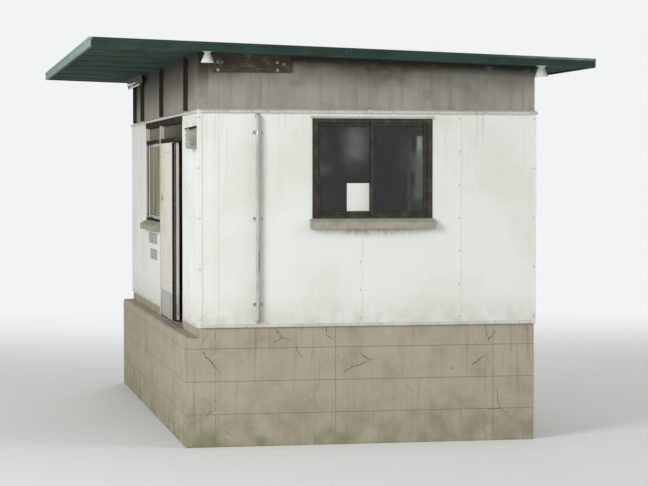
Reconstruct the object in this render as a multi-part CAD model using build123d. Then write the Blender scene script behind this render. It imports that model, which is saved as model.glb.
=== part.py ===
from build123d import *
import math
import os

# Small railway station building: a steel framed waiting room on a concrete foundation,
# with a low mono-pitch roof that reaches out over the platform.
# Millimetres. +Z up. -X faces the platform, +X faces the road.
# -Y is the end wall with the window that is seen from the track, +Y the far end wall.
# The origin is at the middle of the roof's plan, at the lowest ground that the foundation meets.

# Driving dimensions: plan
WALL_LENGTH = 5930
WALL_WIDTH = 3180
WALL_THICKNESS = 100
PLATFORM_EAVE = 1000
ROAD_EAVE = 460
END_EAVE = 360

# Driving dimensions: levels
PLATFORM_LEVEL = 850
FLOOR_RISE = 150
KERB_RISE = 90
DOOR_HEIGHT = 1810
TRANSOM_HEIGHT = 140
LINTEL_HEIGHT = 50
BAND_HEIGHT = 540

# Roof
ROOF_FALL = 145
FASCIA_DEPTH = 80
FASCIA_THICKNESS = 12
FASCIA_LIP = 30
FASCIA_DROP = 10
SOFFIT_THICKNESS = 12
RAFTER_DEPTH = 26
RAFTER_WIDTH = 50
RAFTER_WEB = 6
RAFTER_PITCH = 1050
DECK_THICKNESS = 12
BATTEN_WIDTH = 30
BATTEN_HEIGHT = 18
BATTEN_PITCH = 455
GUTTER_WIDTH = 130
GUTTER_WALL = 4
GUTTER_DEPTH = 50

# Foundation and floor
FOOTING_THICKNESS = 150
CLADDING_DRIP = 10
STEP_PROJECTION = 110
STEP_CHAMFER = 15

# Walls above the trim rail stand back a little from the cladding below it
BAND_SETBACK = 10
TRIM_PROUD = 20
TRIM_DROP = 25
TRIM_NOSE = 21
TRIM_RISE = 10
TRIM_BUTT_GAP = 2
MULLION_WIDTH = 50
MULLION_DEPTH = 40
MULLION_PLACES = (800, 2810, 4690, 5520)
CORNER_LEG = 40
CORNER_SHEET = 4

# Doorway and side window, measured along the platform from the near corner
NEAR_PIER_LENGTH = 1110
JAMB_WIDTH = 30
DOORWAY_LENGTH = 1840
POST_WIDTH = 60
SIDE_WINDOW_LENGTH = 1320
FAR_JAMB_WIDTH = 40
FRAME_RAIL = 40
FRAME_HEAD = 30
FRAME_SILL = 30
SIDE_SILL_DROP = 75

# Sliding door
LEAF_THICKNESS = 30
LEAF_SETBACK = 8
LEAF_SPACING = 12
LEAF_OVERLAP = 50
LEAF_CLEARANCE = 6
LEAF_BORDER = 70
LEAF_PRESSING = 2
SILL_PLATE = 6
SILL_RAIL_WIDTH = 6
SILL_RAIL_HEIGHT = 8
SILL_NOSE = 12
ROLLER_RADIUS = 14
ROLLER_WIDTH = 10
ROLLER_INSET = 120
ROLLER_GAP = 0.3
PULL_HEIGHT = 1235
PULL_INSET = 110
PULL_RADIUS = 32
PULL_CUP_RADIUS = 24
PULL_CUP_DEPTH = 9
PULL_RIM = 2
PULL_WALL = 2

# Sliding aluminium windows in the end and road walls
WINDOW_WIDTH = 1100
WINDOW_HEIGHT = 910
WINDOW_FROM_CORNER = 1070
WINDOW_FRAME_FACE = 30
WINDOW_FRAME_DEPTH = 70
WINDOW_FLANGE = 15
WINDOW_FLANGE_SHEET = 5
ROAD_WINDOW_GAP = 1300
SASH_STILE = 32
SASH_THICKNESS = 22
SASH_GAP = 4
SASH_SETBACK = 12
SASH_OVERLAP = 32
GLASS_THICKNESS = 5
SILL_PROJECTION = 70
SILL_SLOPE = 35
SILL_NOSE_HEIGHT = 60
SILL_EXTRA = 40

# Fittings
DOWNPIPE_RADIUS = 30
DOWNPIPE_WALL = 3
DOWNPIPE_FROM_CORNER = 250
DOWNPIPE_STANDOFF = 55
DOWNPIPE_DROP = 140
DOWNPIPE_NECK = 240
DOWNPIPE_SHOE_HEIGHT = 160
DOWNPIPE_SHOE_REACH = 110
DOWNPIPE_BEND = 55
CONDUIT_RADIUS = 20
CONDUIT_FROM_CORNER = 550
CONDUIT_STANDOFF = 26
CONDUIT_BELOW_TRIM = 55
CONDUIT_BOTTOM_OVER_FLOOR = 150
CONDUIT_BEND = 24
CLIP_SHEET = 4
CLIP_HEIGHT = 30
CLIP_GAP = 0.3
CLIP_WING = 22
LAMP_RADIUS = 62
LAMP_TOP_RADIUS = 27
LAMP_SHADE_HEIGHT = 85
LAMP_SHEET = 4
LAMP_HOLDER_RADIUS = 24
LAMP_INSET = 66
BULB_RADIUS = 20
BULB_DROP = 34
STRIP_LIGHT_LENGTH = 1250
STRIP_LIGHT_WIDTH = 50
STRIP_LIGHT_TOP_WIDTH = 36
STRIP_LIGHT_HEIGHT = 80
STRIP_LIGHT_LIP = 12
STRIP_LIGHT_FROM_CORNER = 270
STRIP_LIGHT_FROM_WALL = 62
LAMPHOLDER_LENGTH = 24
LAMPHOLDER_RADIUS = 16
TUBE_RADIUS = 13
TUBE_DROP = 20
BOARD_FROM_CORNER = 140
BOARD_LENGTH = 720
BOARD_THICKNESS = 25
BOARD_BELOW_EAVE = 200
KNOB_RADIUS = 20
KNOB_LENGTH = 45
KNOB_GROOVE = 6
KNOB_INSET = 70
WALL_BOX_WIDTH = 300
WALL_BOX_HEIGHT = 170
WALL_BOX_PROJECTION = 60
WALL_BOX_FROM_CORNER = 30
WALL_BOX_BELOW_TRIM = 180
WALL_BOX_LID = 18
WALL_BOX_LID_LAP = 10

# Worked out from the sizes above
ROOF_WIDTH = PLATFORM_EAVE + WALL_WIDTH + ROAD_EAVE
ROOF_LENGTH = WALL_LENGTH + 2 * END_EAVE
PLATFORM_X = -ROOF_WIDTH / 2 + PLATFORM_EAVE
ROAD_X = ROOF_WIDTH / 2 - ROAD_EAVE
NEAR_Y = -WALL_LENGTH / 2
FAR_Y = WALL_LENGTH / 2
FLOOR_Z = PLATFORM_LEVEL + FLOOR_RISE
KERB_Z = FLOOR_Z + KERB_RISE
DOOR_HEAD_Z = FLOOR_Z + DOOR_HEIGHT
TRANSOM_Z = DOOR_HEAD_Z + FRAME_RAIL
WINDOW_HEAD_Z = TRANSOM_Z + TRANSOM_HEIGHT
WINDOW_SILL_Z = WINDOW_HEAD_Z - WINDOW_HEIGHT
FRAME_TOP_Z = WINDOW_HEAD_Z + FRAME_HEAD
TRIM_Z = FRAME_TOP_Z + LINTEL_HEIGHT
EAVE_Z = TRIM_Z + BAND_HEIGHT
ROOF_SLOPE = ROOF_FALL / ROOF_WIDTH

# Places along the platform wall, as Y values
JAMB_Y = NEAR_Y + NEAR_PIER_LENGTH
DOOR_Y = JAMB_Y + JAMB_WIDTH
POST_Y = DOOR_Y + DOORWAY_LENGTH
SIDE_WINDOW_Y = POST_Y + POST_WIDTH
FAR_JAMB_Y = SIDE_WINDOW_Y + SIDE_WINDOW_LENGTH
FAR_PIER_Y = FAR_JAMB_Y + FAR_JAMB_WIDTH
SIDE_SILL_Z = WINDOW_SILL_Z - FRAME_SILL - SIDE_SILL_DROP


# Shapes shared by many pieces
def slab(x0, x1, y0, y1, z0, z1):
    """A plain block between two corners."""
    middle = Pos((x0 + x1) / 2, (y0 + y1) / 2, (z0 + z1) / 2)
    return middle * Box(x1 - x0, y1 - y0, z1 - z0)


def along_y(outline, y0, y1):
    """An outline of (x, z) points drawn out from y0 to y1."""
    face = Plane.XZ * Polygon(*outline, align=None)
    return Pos(0, y0, 0) * extrude(face, amount=y1 - y0, dir=(0, 1, 0))


def along_x(outline, x0, x1):
    """An outline of (y, z) points drawn out from x0 to x1."""
    face = Plane.YZ * Polygon(*outline, align=None)
    return Pos(x0, 0, 0) * extrude(face, amount=x1 - x0, dir=(1, 0, 0))


def soffit_z(x):
    """Height of the soffit's underside, which falls from the platform to the road."""
    return EAVE_Z + FASCIA_DROP - ROOF_SLOPE * (x + ROOF_WIDTH / 2)


def roof_layer(x0, x1, y0, y1, low, high):
    """A sloping slab between two heights over the soffit's underside."""
    outline = [
        (x0, soffit_z(x0) + low),
        (x1, soffit_z(x1) + low),
        (x1, soffit_z(x1) + high),
        (x0, soffit_z(x0) + high),
    ]
    return along_y(outline, y0, y1)


def under_soffit(shape):
    """The shape without what would reach above the soffit's underside."""
    cutter = roof_layer(-ROOF_WIDTH, ROOF_WIDTH, -ROOF_LENGTH, ROOF_LENGTH, 0, ROOF_WIDTH)
    return shape - cutter


def spread(start, end, pitch):
    """Places from start to end, no further apart than the pitch."""
    steps = max(1, math.ceil((end - start) / pitch))
    return [start + (end - start) * step / steps for step in range(steps + 1)]


# Foundation: concrete walls down to the lowest ground, with a kerb that carries the walls
def platform_footing():
    """The platform side footing, with a step along it and the kerb cut down at the door."""
    front = PLATFORM_X - STEP_PROJECTION
    face = PLATFORM_X + CLADDING_DRIP
    back = face + FOOTING_THICKNESS
    outline = [
        (front, 0),
        (back, 0),
        (back, KERB_Z),
        (face, KERB_Z),
        (face, FLOOR_Z),
        (front + STEP_CHAMFER, FLOOR_Z),
        (front, FLOOR_Z - STEP_CHAMFER),
    ]
    footing = along_y(outline, NEAR_Y + CLADDING_DRIP, FAR_Y - CLADDING_DRIP)
    return footing - slab(face, back, JAMB_Y, SIDE_WINDOW_Y, FLOOR_Z, KERB_Z)


def inner_faces():
    """The room side faces of the footings: platform, road, near and far."""
    inset = CLADDING_DRIP + FOOTING_THICKNESS
    return PLATFORM_X + inset, ROAD_X - inset, NEAR_Y + inset, FAR_Y - inset


def road_footing():
    x0, x1, y0, y1 = inner_faces()
    return slab(x1, x1 + FOOTING_THICKNESS, y0, y1, 0, KERB_Z)


def end_footings():
    x0, x1, y0, y1 = inner_faces()
    far_x = x1 + FOOTING_THICKNESS
    near = slab(x0, far_x, y0 - FOOTING_THICKNESS, y0, 0, KERB_Z)
    far = slab(x0, far_x, y1, y1 + FOOTING_THICKNESS, 0, KERB_Z)
    return [near, far]


def floor_slab():
    x0, x1, y0, y1 = inner_faces()
    return slab(x0, x1, y0, y1, PLATFORM_LEVEL, FLOOR_Z)


# Walls below the trim rail
def window_hole(centre_x, centre_y, depth_axis):
    """The block that a window takes out of a wall that faces along the given axis."""
    half = WINDOW_WIDTH / 2
    deep = WALL_THICKNESS
    if depth_axis == "y":
        x0, x1, y0, y1 = centre_x - half, centre_x + half, centre_y - deep, centre_y + deep
    else:
        x0, x1, y0, y1 = centre_x - deep, centre_x + deep, centre_y - half, centre_y + half
    return slab(x0, x1, y0, y1, WINDOW_SILL_Z, WINDOW_HEAD_Z)


END_WINDOW_X = PLATFORM_X + WINDOW_FROM_CORNER + WINDOW_WIDTH / 2
ROAD_WINDOW_YS = (
    -(ROAD_WINDOW_GAP + WINDOW_WIDTH) / 2,
    (ROAD_WINDOW_GAP + WINDOW_WIDTH) / 2,
)


def near_wall():
    wall = slab(PLATFORM_X, ROAD_X, NEAR_Y, NEAR_Y + WALL_THICKNESS, KERB_Z, TRIM_Z)
    return wall - window_hole(END_WINDOW_X, NEAR_Y, "y")


def far_wall():
    wall = slab(PLATFORM_X, ROAD_X, FAR_Y - WALL_THICKNESS, FAR_Y, KERB_Z, TRIM_Z)
    return wall - window_hole(END_WINDOW_X, FAR_Y, "y")


def road_wall():
    wall = slab(
        ROAD_X - WALL_THICKNESS,
        ROAD_X,
        NEAR_Y + WALL_THICKNESS,
        FAR_Y - WALL_THICKNESS,
        KERB_Z,
        TRIM_Z,
    )
    for place in ROAD_WINDOW_YS:
        wall -= window_hole(ROAD_X, place, "x")
    return wall


def platform_wall_slab(y0, y1, z0, z1):
    return slab(PLATFORM_X, PLATFORM_X + WALL_THICKNESS, y0, y1, z0, z1)


def platform_near_pier():
    return platform_wall_slab(NEAR_Y + WALL_THICKNESS, JAMB_Y, KERB_Z, TRIM_Z)


def platform_far_pier():
    return platform_wall_slab(FAR_PIER_Y, FAR_Y - WALL_THICKNESS, KERB_Z, TRIM_Z)


def platform_spandrel():
    return platform_wall_slab(SIDE_WINDOW_Y, FAR_PIER_Y, KERB_Z, SIDE_SILL_Z)


def platform_lintel():
    return platform_wall_slab(JAMB_Y, FAR_PIER_Y, FRAME_TOP_Z, TRIM_Z)


# Upper band between the trim rail and the soffit
def end_band(y0, y1):
    x0 = PLATFORM_X + BAND_SETBACK
    x1 = ROAD_X - BAND_SETBACK
    outline = [(x0, TRIM_Z), (x1, TRIM_Z), (x1, soffit_z(x1)), (x0, soffit_z(x0))]
    return along_y(outline, y0, y1)


def end_bands():
    near = end_band(NEAR_Y + BAND_SETBACK, NEAR_Y + WALL_THICKNESS)
    far = end_band(FAR_Y - WALL_THICKNESS, FAR_Y - BAND_SETBACK)
    return [near, far]


def side_band(x0, x1):
    outline = [(x0, TRIM_Z), (x1, TRIM_Z), (x1, soffit_z(x1)), (x0, soffit_z(x0))]
    return along_y(outline, NEAR_Y + WALL_THICKNESS, FAR_Y - WALL_THICKNESS)


def platform_band():
    return side_band(PLATFORM_X + BAND_SETBACK, PLATFORM_X + WALL_THICKNESS)


def road_band():
    return side_band(ROAD_X - WALL_THICKNESS, ROAD_X - BAND_SETBACK)


def band_mullions():
    """Dark steel uprights on the platform face of the upper band."""
    back = PLATFORM_X + BAND_SETBACK
    front = back - MULLION_DEPTH
    foot = TRIM_Z + TRIM_RISE
    outline = [(front, foot), (back, foot), (back, soffit_z(back)), (front, soffit_z(front))]
    uprights = []
    for place in MULLION_PLACES:
        middle = NEAR_Y + place
        uprights.append(along_y(outline, middle - MULLION_WIDTH / 2, middle + MULLION_WIDTH / 2))
    return uprights


# Trim rail and corner angles
def trim_outline(face, back, outward):
    """Section of the rail on a wall face, where outward is +1 or -1 along the axis."""
    low = TRIM_Z - TRIM_DROP
    nose = face + outward * TRIM_PROUD
    return [
        (face, low),
        (nose, low),
        (nose, low + TRIM_NOSE),
        (back, TRIM_Z + TRIM_RISE),
        (back, TRIM_Z),
        (face, TRIM_Z),
    ]


def trim_rails():
    """Four lengths of rail that butt at the corners."""
    platform = along_y(
        trim_outline(PLATFORM_X, PLATFORM_X + BAND_SETBACK, -1), NEAR_Y, FAR_Y
    )
    road = along_y(trim_outline(ROAD_X, ROAD_X - BAND_SETBACK, 1), NEAR_Y, FAR_Y)
    x0 = PLATFORM_X + BAND_SETBACK + TRIM_BUTT_GAP
    x1 = ROAD_X - BAND_SETBACK - TRIM_BUTT_GAP
    near = along_x(trim_outline(NEAR_Y, NEAR_Y + BAND_SETBACK, -1), x0, x1)
    far = along_x(trim_outline(FAR_Y, FAR_Y - BAND_SETBACK, 1), x0, x1)
    return [platform, road, near, far]


def corner_trims():
    """Pressed angles over the four corners of the cladding."""
    top = TRIM_Z - TRIM_DROP
    angles = []
    for corner_x, into_x in ((PLATFORM_X, 1), (ROAD_X, -1)):
        for corner_y, into_y in ((NEAR_Y, 1), (FAR_Y, -1)):
            outer_x, outer_y = corner_x - into_x * CORNER_SHEET, corner_y - into_y * CORNER_SHEET
            leg_x, leg_y = corner_x + into_x * CORNER_LEG, corner_y + into_y * CORNER_LEG
            outline = Polygon(
                (outer_x, outer_y),
                (leg_x, outer_y),
                (leg_x, corner_y),
                (corner_x, corner_y),
                (corner_x, leg_y),
                (outer_x, leg_y),
                align=None,
            )
            angles.append(Pos(0, 0, KERB_Z) * extrude(outline, amount=top - KERB_Z, dir=(0, 0, 1)))
    return angles


# Frame of the doorway and the side window
def frame_posts():
    near = platform_wall_slab(JAMB_Y, DOOR_Y, FLOOR_Z, WINDOW_HEAD_Z)
    middle = platform_wall_slab(POST_Y, SIDE_WINDOW_Y, FLOOR_Z, WINDOW_HEAD_Z)
    far = platform_wall_slab(FAR_JAMB_Y, FAR_PIER_Y, SIDE_SILL_Z, WINDOW_HEAD_Z)
    return [near, middle, far]


def frame_rails():
    head = platform_wall_slab(JAMB_Y, FAR_PIER_Y, WINDOW_HEAD_Z, FRAME_TOP_Z)
    door = platform_wall_slab(DOOR_Y, POST_Y, DOOR_HEAD_Z, TRANSOM_Z)
    window = platform_wall_slab(SIDE_WINDOW_Y, FAR_JAMB_Y, DOOR_HEAD_Z, TRANSOM_Z)
    sill = platform_wall_slab(
        SIDE_WINDOW_Y, FAR_JAMB_Y, SIDE_SILL_Z, SIDE_SILL_Z + FRAME_SILL
    )
    return [head, door, window, sill]


def transom_glass():
    """Two fixed panes over the door and over the side window."""
    front = PLATFORM_X + WALL_THICKNESS / 2 - GLASS_THICKNESS / 2
    top = WINDOW_HEAD_Z
    door = slab(front, front + GLASS_THICKNESS, DOOR_Y, POST_Y, TRANSOM_Z, top)
    window = slab(front, front + GLASS_THICKNESS, SIDE_WINDOW_Y, FAR_JAMB_Y, TRANSOM_Z, top)
    return [door, window]


# Sliding door: two leaves that pass each other, drawn with the near half of the doorway open
LEAF_LENGTH = DOORWAY_LENGTH / 2 + LEAF_OVERLAP / 2 - LEAF_CLEARANCE
LEAF_REST_Y = POST_Y - LEAF_CLEARANCE - LEAF_LENGTH
RAIL_TOP_Z = FLOOR_Z + SILL_PLATE + SILL_RAIL_HEIGHT
LEAF_BOTTOM_Z = RAIL_TOP_Z + LEAF_CLEARANCE
LEAF_TOP_Z = DOOR_HEAD_Z - LEAF_CLEARANCE
OUTER_LEAF_X = PLATFORM_X + LEAF_SETBACK
INNER_LEAF_X = OUTER_LEAF_X + LEAF_THICKNESS + LEAF_SPACING


def door_sill():
    """Threshold plate with a rail under each leaf."""
    outer = OUTER_LEAF_X + LEAF_THICKNESS / 2
    inner = INNER_LEAF_X + LEAF_THICKNESS / 2
    plate_top = FLOOR_Z + SILL_PLATE
    sill = slab(
        PLATFORM_X - SILL_NOSE, PLATFORM_X + WALL_THICKNESS, DOOR_Y, POST_Y, FLOOR_Z, plate_top
    )
    for middle in (outer, inner):
        half = SILL_RAIL_WIDTH / 2
        sill += slab(middle - half, middle + half, DOOR_Y, POST_Y, plate_top, RAIL_TOP_Z)
    return sill


def pull_places(x):
    """The two faces of a leaf, each with the direction that points out of the leaf."""
    return ((x, -1), (x + LEAF_THICKNESS, 1))


def pull_plane(x, outward, y):
    """A plane on the leaf's face at the pull, with its normal pointing out of the leaf."""
    return Plane(origin=(x, y, FLOOR_Z + PULL_HEIGHT), x_dir=(0, 1, 0), z_dir=(outward, 0, 0))


def door_leaf(x, pull_y):
    """A pressed steel leaf with rollers under it and a bore for the pull cups."""
    y0 = LEAF_REST_Y
    y1 = y0 + LEAF_LENGTH
    leaf = slab(x, x + LEAF_THICKNESS, y0, y1, LEAF_BOTTOM_Z, LEAF_TOP_Z)
    for low in (x, x + LEAF_THICKNESS - LEAF_PRESSING):
        leaf -= slab(
            low,
            low + LEAF_PRESSING,
            y0 + LEAF_BORDER * 2,
            y1 - LEAF_BORDER * 2,
            LEAF_BOTTOM_Z + LEAF_BORDER,
            LEAF_TOP_Z - LEAF_BORDER,
        )
    for place in (y0 + ROLLER_INSET, y1 - ROLLER_INSET):
        roller = Cylinder(ROLLER_RADIUS, ROLLER_WIDTH, rotation=(0, 90, 0))
        leaf += Pos(x + LEAF_THICKNESS / 2, place, RAIL_TOP_Z + ROLLER_GAP + ROLLER_RADIUS) * roller
    for face, outward in pull_places(x):
        bore = Cylinder(PULL_CUP_RADIUS, PULL_CUP_DEPTH, align=(Align.CENTER, Align.CENTER, Align.MAX))
        leaf -= pull_plane(face, outward, pull_y) * bore
    return leaf


def door_pulls(x, pull_y):
    """A round recessed cup on each face of the leaf."""
    cups = []
    for face, outward in pull_places(x):
        floor = -PULL_CUP_DEPTH
        outline = Polygon(
            (0, floor),
            (PULL_CUP_RADIUS, floor),
            (PULL_CUP_RADIUS, 0),
            (PULL_RADIUS, 0),
            (PULL_RADIUS, PULL_RIM / 2),
            (PULL_RADIUS - PULL_RIM, PULL_RIM),
            (PULL_CUP_RADIUS - PULL_WALL, PULL_RIM),
            (PULL_CUP_RADIUS - 2 * PULL_WALL, floor + PULL_WALL),
            (0, floor + PULL_WALL),
            align=None,
        )
        cup = revolve(Plane.XZ * outline, axis=Axis.Z)
        cups.append(pull_plane(face, outward, pull_y) * cup)
    return cups


OUTER_PULL_Y = LEAF_REST_Y + LEAF_LENGTH - PULL_INSET + LEAF_BORDER / 2
INNER_PULL_Y = LEAF_REST_Y + PULL_INSET - LEAF_BORDER / 2


# Windows: each is drawn in front of a wall that faces -Y and then turned to its own wall
def window_seat(centre_x, centre_y, turn):
    """Place of a window's lower middle point on its wall's outer face."""
    return Pos(centre_x, centre_y, WINDOW_SILL_Z) * Rot(0, 0, turn)


def window_seats():
    seats = [window_seat(END_WINDOW_X, NEAR_Y, 0), window_seat(END_WINDOW_X, FAR_Y, 180)]
    for place in ROAD_WINDOW_YS:
        seats.append(window_seat(ROAD_X, place, 90))
    return seats


def sash_ring(x0, x1, y0, z0, z1):
    outer = slab(x0, x1, y0, y0 + SASH_THICKNESS, z0, z1)
    return outer - slab(
        x0 + SASH_STILE,
        x1 - SASH_STILE,
        y0,
        y0 + SASH_THICKNESS,
        z0 + SASH_STILE,
        z1 - SASH_STILE,
    )


def sash_glass(x0, x1, y0, z0, z1):
    front = y0 + (SASH_THICKNESS - GLASS_THICKNESS) / 2
    return slab(
        x0 + SASH_STILE,
        x1 - SASH_STILE,
        front,
        front + GLASS_THICKNESS,
        z0 + SASH_STILE,
        z1 - SASH_STILE,
    )


def sash_pair(make, x0, x1, z0, z1):
    """Two sashes that pass each other, filling an opening in a wall that faces -Y."""
    middle = (x0 + x1) / 2
    half_lap = SASH_OVERLAP / 2
    outer_y = SASH_SETBACK
    inner_y = outer_y + SASH_THICKNESS + SASH_GAP
    outer = make(middle - half_lap, x1, outer_y, z0, z1)
    inner = make(x0, middle + half_lap, inner_y, z0, z1)
    return [outer, inner]


def window_bar(x0, x1, z0, z1, flange_x, flange_z):
    """A bar of the window frame, with a flange that laps onto the wall's outer face."""
    bar = slab(x0, x1, 0, WINDOW_FRAME_DEPTH, z0, z1)
    lap = slab(
        x0 - flange_x[0],
        x1 + flange_x[1],
        -WINDOW_FLANGE_SHEET,
        0,
        z0 - flange_z[0],
        z1 + flange_z[1],
    )
    return bar + lap


def window_jambs():
    half = WINDOW_WIDTH / 2
    face = WINDOW_FRAME_FACE
    low, high = face, WINDOW_HEIGHT - face
    left = window_bar(-half, -half + face, low, high, (WINDOW_FLANGE, 0), (0, 0))
    right = window_bar(half - face, half, low, high, (0, WINDOW_FLANGE), (0, 0))
    return [seat * bar for seat in window_seats() for bar in (left, right)]


def window_rails():
    half = WINDOW_WIDTH / 2
    face = WINDOW_FRAME_FACE
    lap = (WINDOW_FLANGE, WINDOW_FLANGE)
    sill = window_bar(-half, half, 0, face, lap, (0, 0))
    head = window_bar(-half, half, WINDOW_HEIGHT - face, WINDOW_HEIGHT, lap, (0, WINDOW_FLANGE))
    return [seat * bar for seat in window_seats() for bar in (sill, head)]


def side_window_seat():
    """The side window is set in the platform frame, which faces -X."""
    return Pos(PLATFORM_X, (SIDE_WINDOW_Y + FAR_JAMB_Y) / 2, 0) * Rot(0, 0, -90)


def all_sash_pairs(make):
    half = WINDOW_WIDTH / 2 - WINDOW_FRAME_FACE
    pair = sash_pair(make, -half, half, WINDOW_FRAME_FACE, WINDOW_HEIGHT - WINDOW_FRAME_FACE)
    pieces = [seat * sash for seat in window_seats() for sash in pair]
    side_half = SIDE_WINDOW_LENGTH / 2
    side = sash_pair(make, -side_half, side_half, SIDE_SILL_Z + FRAME_SILL, DOOR_HEAD_Z)
    return pieces + [side_window_seat() * sash for sash in side]


def window_sashes():
    return all_sash_pairs(sash_ring)


def window_glass():
    return all_sash_pairs(sash_glass)


def sill_block(half_length):
    """A weathered sill with its top at height 0, in front of a wall that faces -Y."""
    outline = [
        (0, 0),
        (-SILL_PROJECTION, -SILL_SLOPE),
        (-SILL_PROJECTION, -SILL_SLOPE - SILL_NOSE_HEIGHT),
        (0, -SILL_SLOPE - SILL_NOSE_HEIGHT),
    ]
    return along_x(outline, -half_length, half_length)


def window_sills():
    block = sill_block(WINDOW_WIDTH / 2 + SILL_EXTRA)
    sills = [seat * block for seat in window_seats()]
    side = sill_block((FAR_PIER_Y - SIDE_WINDOW_Y) / 2)
    middle = (FAR_PIER_Y + SIDE_WINDOW_Y) / 2
    sills.append(Pos(PLATFORM_X, middle, SIDE_SILL_Z) * Rot(0, 0, -90) * side)
    return sills


# Roof
INSIDE_X0 = -ROOF_WIDTH / 2 + FASCIA_THICKNESS
INSIDE_X1 = ROOF_WIDTH / 2 - FASCIA_THICKNESS
INSIDE_Y0 = -ROOF_LENGTH / 2 + FASCIA_THICKNESS
INSIDE_Y1 = ROOF_LENGTH / 2 - FASCIA_THICKNESS
DECK_LOW = SOFFIT_THICKNESS + RAFTER_DEPTH
GUTTER_X = INSIDE_X1 - GUTTER_WIDTH
DOWNPIPE_X = GUTTER_X + GUTTER_WIDTH / 2
DOWNPIPE_Y = FAR_Y - DOWNPIPE_FROM_CORNER


def downpipe_hole(radius):
    """A round cutter through the soffit and the gutter's floor."""
    hole = Cylinder(radius, FASCIA_DEPTH * 2)
    return Pos(DOWNPIPE_X, DOWNPIPE_Y, soffit_z(DOWNPIPE_X)) * hole


def soffit_board():
    board = roof_layer(INSIDE_X0, INSIDE_X1, INSIDE_Y0, INSIDE_Y1, 0, SOFFIT_THICKNESS)
    return board - downpipe_hole(DOWNPIPE_RADIUS + CLIP_GAP)


def roof_rafters():
    """Channels that run down the slope between the soffit and the deck."""
    rafters = []
    for middle in spread(INSIDE_Y0 + RAFTER_WIDTH / 2, INSIDE_Y1 - RAFTER_WIDTH / 2, RAFTER_PITCH):
        y0 = middle - RAFTER_WIDTH / 2
        y1 = middle + RAFTER_WIDTH / 2
        channel = roof_layer(INSIDE_X0, GUTTER_X, y0, y1, SOFFIT_THICKNESS, DECK_LOW)
        channel -= roof_layer(
            INSIDE_X0,
            GUTTER_X,
            y0 + RAFTER_WEB,
            y1,
            SOFFIT_THICKNESS + RAFTER_WEB,
            DECK_LOW - RAFTER_WEB,
        )
        rafters.append(channel)
    return rafters


def roof_deck():
    """Sheet roofing with battens that run down the slope to the gutter."""
    top = DECK_LOW + DECK_THICKNESS
    deck = roof_layer(INSIDE_X0, GUTTER_X, INSIDE_Y0, INSIDE_Y1, DECK_LOW, top)
    inset = FASCIA_LIP + BATTEN_WIDTH
    for middle in spread(INSIDE_Y0 + inset, INSIDE_Y1 - inset, BATTEN_PITCH):
        deck += roof_layer(
            INSIDE_X0 + FASCIA_LIP,
            GUTTER_X,
            middle - BATTEN_WIDTH / 2,
            middle + BATTEN_WIDTH / 2,
            top,
            top + BATTEN_HEIGHT,
        )
    return deck


def gutter_sole():
    """The floor of the box gutter behind the road fascia, with a hole over the downpipe."""
    low = SOFFIT_THICKNESS
    sole = roof_layer(GUTTER_X, INSIDE_X1, INSIDE_Y0, INSIDE_Y1, low, low + GUTTER_WALL)
    return sole - downpipe_hole(DOWNPIPE_RADIUS - DOWNPIPE_WALL)


def gutter_sides():
    """The two upstands of the box gutter."""
    low = SOFFIT_THICKNESS + GUTTER_WALL
    high = SOFFIT_THICKNESS + GUTTER_DEPTH
    sides = []
    for x0 in (GUTTER_X, INSIDE_X1 - GUTTER_WALL):
        sides.append(roof_layer(x0, x0 + GUTTER_WALL, INSIDE_Y0, INSIDE_Y1, low, high))
    return sides


def side_fascia(outer, inward):
    """A fascia along the platform or the road, with a lip turned in under the soffit."""
    inner = outer + inward * FASCIA_THICKNESS
    lip = inner + inward * FASCIA_LIP
    low = -FASCIA_DROP
    high = FASCIA_DEPTH - FASCIA_DROP
    half = ROOF_LENGTH / 2
    plate = roof_layer(min(outer, inner), max(outer, inner), -half, half, low, high)
    turned = roof_layer(min(inner, lip), max(inner, lip), INSIDE_Y0, INSIDE_Y1, low, 0)
    return plate + turned


def platform_fascia():
    return side_fascia(-ROOF_WIDTH / 2, 1)


def road_fascia():
    return side_fascia(ROOF_WIDTH / 2, -1)


def end_fascias():
    """Sloping fascias at both ends, between the side fascias."""
    low = -FASCIA_DROP
    high = FASCIA_DEPTH - FASCIA_DROP
    fascias = []
    for outer, inward in ((-ROOF_LENGTH / 2, 1), (ROOF_LENGTH / 2, -1)):
        inner = outer + inward * FASCIA_THICKNESS
        lip = inner + inward * FASCIA_LIP
        plate = roof_layer(INSIDE_X0, INSIDE_X1, min(outer, inner), max(outer, inner), low, high)
        turned = roof_layer(
            INSIDE_X0 + FASCIA_LIP,
            INSIDE_X1 - FASCIA_LIP,
            min(inner, lip),
            max(inner, lip),
            low,
            0,
        )
        fascias.append(plate + turned)
    return fascias


# Rainwater pipe and cable conduit
def swept_tube(points, bend, radius, wall):
    """A round tube along straight runs joined by equal bends."""
    path = FilletPolyline(*points, radius=bend)
    section = Circle(radius)
    if wall:
        section -= Circle(radius - wall)
    start = Plane(origin=path @ 0, z_dir=path % 0)
    return sweep(start * section, path=path)


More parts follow.
